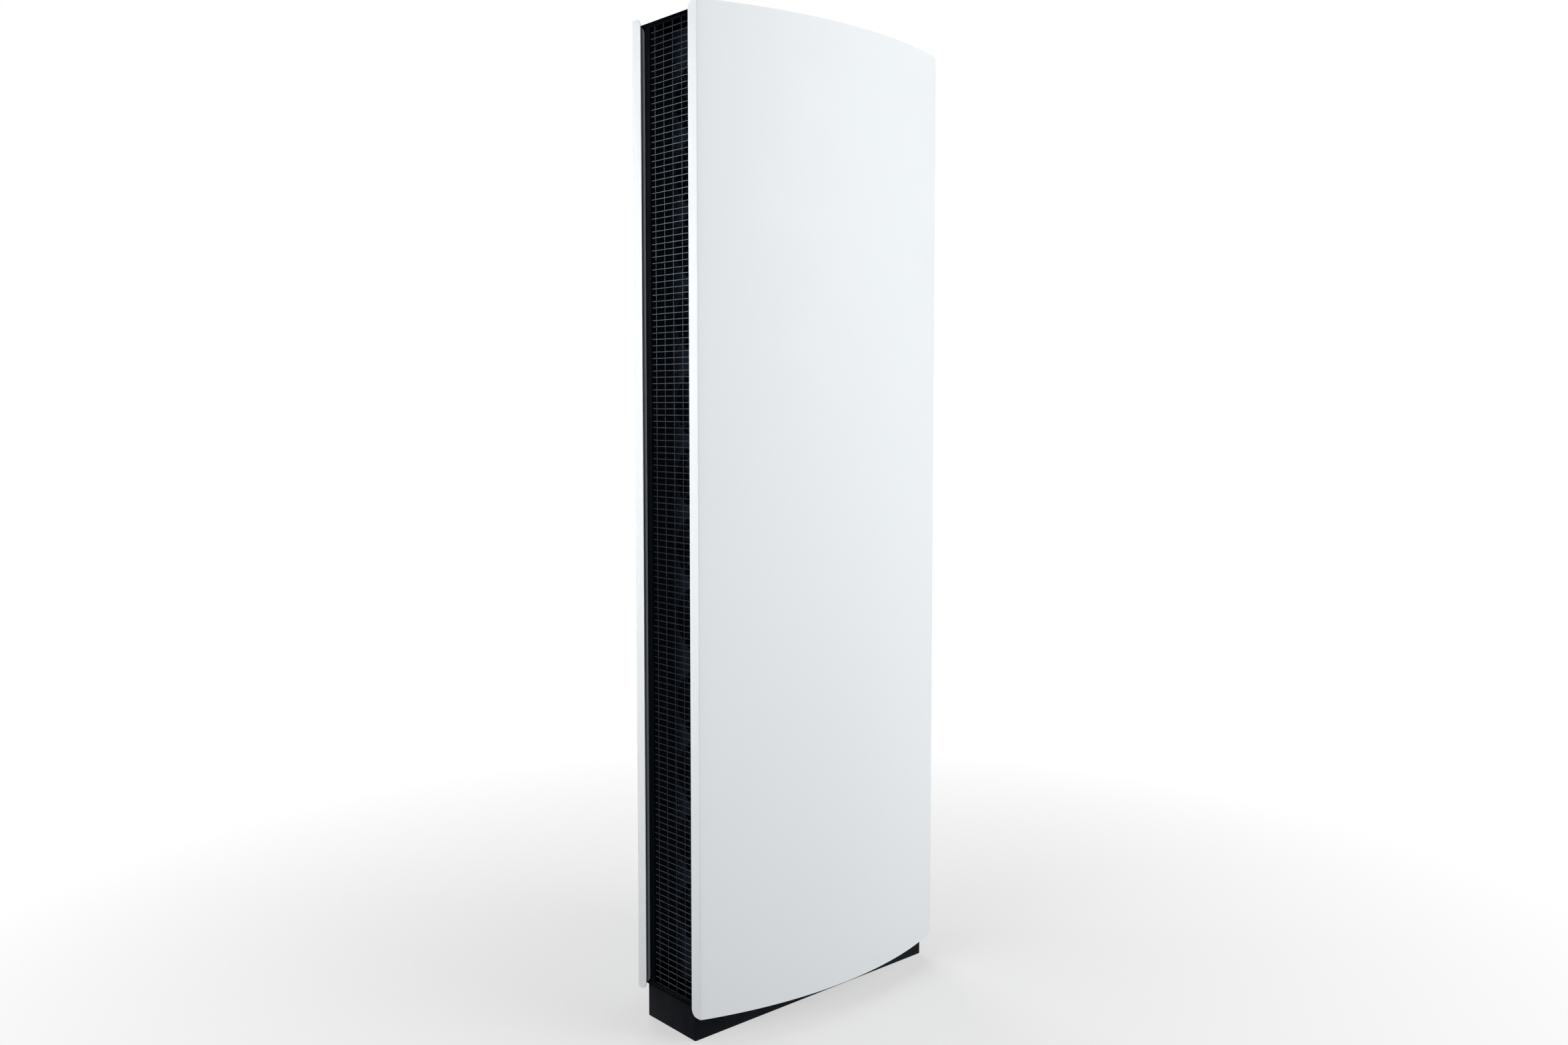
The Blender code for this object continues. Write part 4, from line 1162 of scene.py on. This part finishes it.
def make_foot(node, bar, stud):
    """Rubber pad, plated hexagon and threaded stud, with a weld nut under the bar."""
    middle = middle_of(node)
    spot = (middle.x, middle.y, 0)
    pad = ((0, 16.6), (0.5, 17.6), (1.5, 18), (5.4, 18), (6.4, 17.4), (7.4, 15.4), (8.2, 12.6),
           (8.6, 11))
    shape = lofted(z_rings([(z * MM, radius * MM) for z, radius in pad]), caps=True)
    add_piece(node + "_pad", shape, RUBBER, node, (node,), spot)
    flats = hexagon(8 * MM)
    shape = lofted(z_rings(((8.4 * MM, flats), (12.5 * MM, flats), (13.2 * MM, 7.4 * MM),
                            (13.2 * MM, 4 * MM))), caps=True)
    soften(add_piece(node + "_hexagon", shape, STEEL, node, location=spot))
    add_piece(node + "_stud", stud, STEEL, node, location=spot)
    under = bar - 7 * MM
    flats = hexagon(8.5 * MM)
    bore = 5.1 * MM
    shape = lofted(z_rings(((under, flats), (bar, flats), (bar, bore), (under, bore))),
                   closed=True)
    soften(add_piece(node + "_weld_nut", shape, STEEL_DULL, CASE, location=spot))


def make_feet():
    stud = threaded_mesh("foot_stud", 4.9 * MM, 9 * MM, 62 * MM, 1.5 * MM)
    for end in ("front", "rear"):
        for side in ("left", "right"):
            make_foot("foot_%s_%s" % (end, side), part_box("foot_bar_" + side)[0].z, stud)


# ---------------------------------------------------------------- controls and power

def make_inlet_and_switch():
    """Moulded socket with three blades, the switch and its bezel, and the cable grommet."""
    paint_nodes(("mains_inlet", "switch_bezel", "power_rocker"), PLASTIC, 0.6 * MM)
    paint_nodes(("cable_grommet",), RUBBER, 0.5 * MM)
    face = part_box("mains_inlet")[1].x
    middle = middle_of("mains_inlet")
    bm = bmesh.new()
    for side, up in ((-7, -1.5), (0, 2.5), (7, -1.5)):
        block_into(bm, (face, middle.y, middle.z), (-17.5, side - 1, up - 2),
                   (-4, side + 1, up + 2), 0.6)
    add_piece("inlet_blades", bm, STEEL, CASE)


def make_speed_dial():
    """Fluted dial with a white pointer line, and the printed scale round it."""
    low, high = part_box("speed_knob")
    middle = middle_of("speed_knob")
    axis = (0, middle.y, middle.z)
    face = high.x - MM
    profile = ((5.2, 15, 0), (4.4, 15, 0), (4.1, 14.6, 0.7), (1, 14.3, 0.7), (0.3, 13.9, 0.5),
               (0, 13.2, 0), (0, 10, 0), (0.5, 8.5, 0))
    bm = bmesh.new()
    loft_into(bm, [x_ring(face - back * MM, fluted(radius * MM, depth * MM), 144)
                   for back, radius, depth in profile], caps=True)
    rod_into(bm, 3 * MM, (low.x, 0, 0), (face - 3 * MM, 0, 0))
    block_into(bm, (high.x, 0, 0), (-2, -1.2, 3), (0, 1.2, 12), 0.4)
    add_piece("speed_dial_knob", bm, PLASTIC, "speed_knob", ("speed_knob",), axis)
    bm = bmesh.new()
    block_into(bm, (high.x, 0, 0), (-0.2, -0.5, 4), (0, 0.5, 11.2), 0.08)
    add_piece("speed_dial_line", bm, PRINT, "speed_knob", location=axis)
    side = Vector((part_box("plinth")[1].x - 0.25 * MM, middle.y, middle.z))
    bm = bmesh.new()
    for i in range(11):
        turn = radians(27 * i)
        heading = Vector((0, sin(turn), cos(turn)))
        start = side + heading * 16.8 * MM
        length = 3.4 * MM if i % 5 == 0 else 2.2 * MM
        rod_into(bm, 0.4 * MM, start, start + heading * length, 12)
    add_piece("speed_dial_scale", bm, PRINT, CASE)


def vented_lid(name, low, high, z, thickness):
    """A thin lid with rows of round vent holes."""
    pitch = 8 * MM
    border = 24 * MM
    outlines = [rounded_rectangle((low.x, low.y), (high.x, high.y), 2 * MM)]
    across = int((high.x - low.x - border) / pitch)
    along = int((high.y - low.y - border) / pitch)
    for i in range(across + 1):
        for j in range(along + 1):
            spot = ((low.x + high.x) / 2 + pitch * (i - across / 2),
                    (low.y + high.y) / 2 + pitch * (j - along / 2))
            outlines.append(outline(2.6 * MM, 16, spot))
    return plate_mesh(name, outlines, thickness, Matrix.Translation((0, 0, z)))


def make_supply_parts(low, high):
    """A row of coils and a row of blocks under the vented lid."""
    pitch = 31 * MM
    bm = bmesh.new()
    for number in range(5):
        x = low.x + 30 * MM + number * pitch
        y = low.y + 24 * MM
        rod_into(bm, 9 * MM, (x, y, low.z + MM), (x, y, high.z - 4 * MM), 32)
        box_into(bm, (x - 11 * MM, low.y + 48 * MM, low.z + MM),
                 (x + 11 * MM, high.y - 18 * MM, high.z - 6 * MM), 2 * MM)
    add_piece("supply_parts", bm, PLASTIC, CASE)


def make_supply_terminals(block, low, high):
    """A strip of screw terminals between partitions, outside the supply's case."""
    pitch = 13 * MM
    count = 7
    bm = bmesh.new()
    box_into(bm, (block, low.y + 10 * MM, low.z), (high.x, high.y - 10 * MM, low.z + 10 * MM),
             0.5 * MM)
    for i in range(count + 1):
        y = low.y + 12 * MM + i * pitch
        box_into(bm, (block, y - MM, low.z), (high.x - MM, y + MM, low.z + 19 * MM),
                 0.5 * MM)
    add_piece("supply_terminals", bm, PLASTIC, CASE)
    spots = [((high.x - 8 * MM, low.y + 18.5 * MM + i * pitch, low.z + 10 * MM), (0, 0, 1))
             for i in range(count)]
    screws("supply_terminal_screws", 3 * MM, 2 * MM, spots, CASE)


def make_power_supply():
    """Folded case, vented lid, the parts under it and a terminal strip."""
    wall = 1.2 * MM
    low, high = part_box("power_supply")
    block = high.x - 16 * MM
    under = high.z - wall
    bm = bmesh.new()
    box_into(bm, low, (block, high.y, low.z + wall))
    for y in (low.y, high.y - wall):
        box_into(bm, (low.x, y, low.z), (block, y + wall, under))
    for x in (low.x, block - wall):
        box_into(bm, (x, low.y, low.z), (x + wall, high.y, under))
    add_piece("supply_case", bm, ZINC, CASE, ("power_supply",))
    lid = vented_lid("supply_lid", low, Vector((block, high.y, 0)), high.z - wall / 2, wall)
    add_piece("supply_lid", lid, ZINC, CASE)
    make_supply_parts(low, high)
    make_supply_terminals(block, low, high)


def make_control_unit():
    """Moulded box with a lid seam, corner screws and three cable glands."""
    low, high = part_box("control_unit")
    seam = high.z - 8 * MM
    inset = Vector((1, 1, 4)) * MM
    bm = bmesh.new()
    box_into(bm, low, (high.x, high.y, seam - 0.6 * MM), 2 * MM)
    box_into(bm, low + inset, high - inset)
    box_into(bm, (low.x, low.y, seam), high, 2 * MM)
    add_piece("control_case", bm, PLASTIC, CASE, ("control_unit",))
    spots = [((x, y, high.z - 0.4 * MM), (0, 0, 1)) for x in (low.x + 8 * MM, high.x - 8 * MM)
             for y in (low.y + 8 * MM, high.y - 8 * MM)]
    screws("control_screws", 3 * MM, 0.4 * MM, spots, CASE)
    flats = hexagon(7 * MM)
    rings = z_rings(((-0.5 * MM, flats), (3.6 * MM, flats), (4.2 * MM, 6.2 * MM),
                     (8 * MM, 5.4 * MM), (9 * MM, 4.6 * MM), (9 * MM, 3.3 * MM)))
    bm = bmesh.new()
    for point, way in (((high.x, 40 * MM, 92 * MM), (1, 0, 0)),
                       ((low.x, 0, 86 * MM), (-1, 0, 0)),
                       ((FAN_LOOM_START, high.y, 86 * MM), (0, 1, 0))):
        loft_into(bm, rings, caps=True, place=facing(point, way))
    add_piece("control_glands", bm, PLASTIC, CASE)


# ---------------------------------------------------------------- wiring

def bend(corner, start_way, end_way):
    """Points round a bend of the looms' radius at a square corner."""
    centre = Vector(corner) + LOOM_BEND * (end_way - start_way)
    return [centre + start_way * a + end_way * b
            for b, a in arc((0, 0), LOOM_BEND, pi, -QUARTER, 10)]


def make_looms():
    """Sleeved looms from the inlet to the controller, to the supply and up to the fans."""
    rear, left, up = Vector((0, 1, 0)), Vector((-1, 0, 0)), Vector((0, 0, 1))
    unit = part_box("control_unit")
    loom_low, loom_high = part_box("fan_loom")
    back, riser, top = loom_high.y - LOOM_RADIUS, loom_low.x + LOOM_RADIUS, loom_high.z
    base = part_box("supply_link")[0].z + LOOM_RADIUS
    start = Vector((FAN_LOOM_START, unit[1].y, base))
    fan_route = [start, *bend((start.x, back, base), rear, left),
                 *bend((riser, back, base), left, up), Vector((riser, back, top))]
    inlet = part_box("mains_inlet")[0].x
    hole = middle_of("cable_grommet")
    x, y = hole.x, hole.y
    low_z, high_z = (corner.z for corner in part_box("mains_loom"))
    low_z += LOOM_RADIUS
    high_z -= LOOM_RADIUS
    mains_route = [Vector((inlet, y, low_z)), *bend((x, y, low_z), left, up),
                   *bend((x, y, high_z), up, left), Vector((unit[1].x, y, high_z))]
    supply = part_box("power_supply")[1].x
    link_route = [Vector((unit[0].x, 0, base)), Vector((supply, 0, base))]
    for name, route in (("fan_loom", fan_route), ("mains_loom", mains_route),
                        ("supply_link", link_route)):
        mesh = tube_mesh(name + "_sleeve", route, LOOM_RADIUS, 6)
        add_piece(name + "_sleeve", mesh, SLEEVE, CASE, (name,), sharp=50)
    return riser, back, top


def make_ties(riser, back, top):
    """Cable ties up the fan loom, each with its lock on one side."""
    first, clear = 140 * MM, 150 * MM
    half = 1.2 * MM
    inner, outer = LOOM_RADIUS - 0.2 * MM, LOOM_RADIUS + 0.9 * MM
    rings = z_rings(((-half, inner), (-half, outer), (half, outer), (half, inner)))
    bm = bmesh.new()
    for i in range(int((top - clear) / TIE_PITCH)):
        z = first + TIE_PITCH * i
        loft_into(bm, rings, closed=True, place=Matrix.Translation((riser, back, z)))
        block_into(bm, (riser + LOOM_RADIUS, back, z), (0, -2.2, -2), (4, 2.2, 2), 0.5)
    add_piece("loom_ties", bm, PLASTIC, CASE)


def make_leads(riser, back):
    """A lead from the fan loom to each fan."""
    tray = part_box("fan_tray_1")[1]
    start_x, start_y = tray.x - 12 * MM, tray.y - MM
    below, drop = 58 * MM, 30 * MM
    steps = 16
    route = []
    for i in range(steps + 1):
        share = i / steps
        ease = share * share * (3 - 2 * share)
        route.append((start_x + (riser - start_x) * ease,
                      start_y + (back - start_y) * sin(QUARTER * share),
                      -below - drop * ease))
    lead = tube_mesh("fan_lead", route, 1.3 * MM, 3)
    places = [Matrix.Translation((0, 0, z)) for z in all_fan_middles()]
    add_piece("fan_leads", stamped("fan_leads", lead, places), PLASTIC, CASE, sharp=60)


# ---------------------------------------------------------------- stage, lights and camera

def make_floor():
    """A large pale disc that fades into the white background."""
    bm = bmesh.new()
    steps = 64
    loft_into(bm, z_rings([(0, reach) for reach in (0.5, 1, 2, 4, 8, 16, 40)], steps))
    bm.faces.new(list(bm.verts)[:steps])
    floor = new_object("floor", finished(bm, "floor"))
    mat = start_material("floor", (0.9, 0.9, 0.9), 0.7, specular=0.1)
    floor.data.materials.append(mat)
    glow = add_node(mat, "Emission", strength=1.0)
    mix = add_node(mat, "MixShader")
    reach = add_node(mat, "VectorMath", operation="LENGTH")
    wire_up(mat, stretched_place(mat), reach.inputs[0])
    fade = spread(mat, reach.outputs["Value"], FLOOR_NEAR, 1.0, 0.3, 2.0)
    surface = mat.node_tree.nodes["Material Output"].inputs["Surface"]
    wire_up(mat, fade, mix.inputs[0], shader_of(mat).outputs[0], mix.inputs[1],
            glow.outputs[0], mix.inputs[2], mix.outputs[0], surface)


def make_world():
    """White where the camera sees it, and black for everything else, so it lights nothing."""
    world = bpy.data.worlds.new("studio")
    bpy.context.scene.world = world
    world.use_nodes = True
    tree = world.node_tree
    tree.nodes.clear()
    rays = tree.nodes.new("ShaderNodeLightPath")
    white = tree.nodes.new("ShaderNodeBackground")
    white.inputs["Color"].default_value = (1, 1, 1, 1)
    output = tree.nodes.new("ShaderNodeOutputWorld")
    tree.links.new(rays.outputs["Is Camera Ray"], white.inputs["Strength"])
    tree.links.new(white.outputs[0], output.inputs["Surface"])


def add_soft_light(name, location, target, size, power, spread_angle=180):
    data = bpy.data.lights.new(name, "AREA")
    data.shape = "RECTANGLE"
    data.size, data.size_y = size
    data.energy = power
    data.spread = radians(spread_angle)
    lamp = new_object(name, data)
    lamp.location = location
    way = Vector(target) - Vector(location)
    lamp.rotation_euler = way.to_track_quat("-Z", "Y").to_euler()


def make_lights():
    add_soft_light("key", (1.85, -3.65, 2.1), (0, 0, 1.5), (2.4, 2.4), 103)
    add_soft_light("high_key", (2.4, -3.0, 4.2), (0, 0, 1.2), (2.0, 2.0), 24)
    add_soft_light("left_fill", (-3.6, -0.2, 1.4), (0, 0, 1.2), (1.2, 1.2), 29)
    add_soft_light("left_rim", (-2.5, 2.3, 2.0), (-0.3, 0, 1.33), (0.8, 1.3), 4.2, 42)
    add_soft_light("high_left", (-3.2, -0.6, 3.4), (0, 0, 1.2), (1.6, 1.6), 10)
    add_soft_light("back", (1.5, 4.0, 2.6), (0, 0, 1.1), (2.4, 2.4), 74)


def make_camera():
    """The main view: from the front left, a little above the object's middle."""
    data = bpy.data.cameras.new("camera")
    data.lens = LENS
    data.sensor_width = SENSOR
    data.shift_y = VIEW_SHIFT
    camera = new_object("camera", data)
    camera.location = CAMERA_PLACE
    camera.rotation_euler = (radians(90 - CAMERA_DOWN), 0, radians(CAMERA_HEADING))
    bpy.context.scene.camera = camera


# ---------------------------------------------------------------- everything together

make_camera()
make_world()
make_lights()
make_floor()
make_shells()
make_panel_catches()
make_wire_mesh("left", -1)
make_wire_mesh("right", 1)
make_case_screws()
make_cover_fasteners()
make_fan_plate()
for storey in range(1, STOREYS + 1):
    make_fan_tray(storey)
make_impellers()
for storey in range(1, STOREYS + 1):
    make_hepa_cassette(storey)
    make_carbon_cassette(storey)
    make_prefilter(storey)
make_runners()
make_feet()
make_inlet_and_switch()
make_speed_dial()
make_power_supply()
make_control_unit()
riser, back, top = make_looms()
make_ties(riser, back, top)
make_leads(riser, back)
bpy.context.scene.view_settings.view_transform = "Standard"
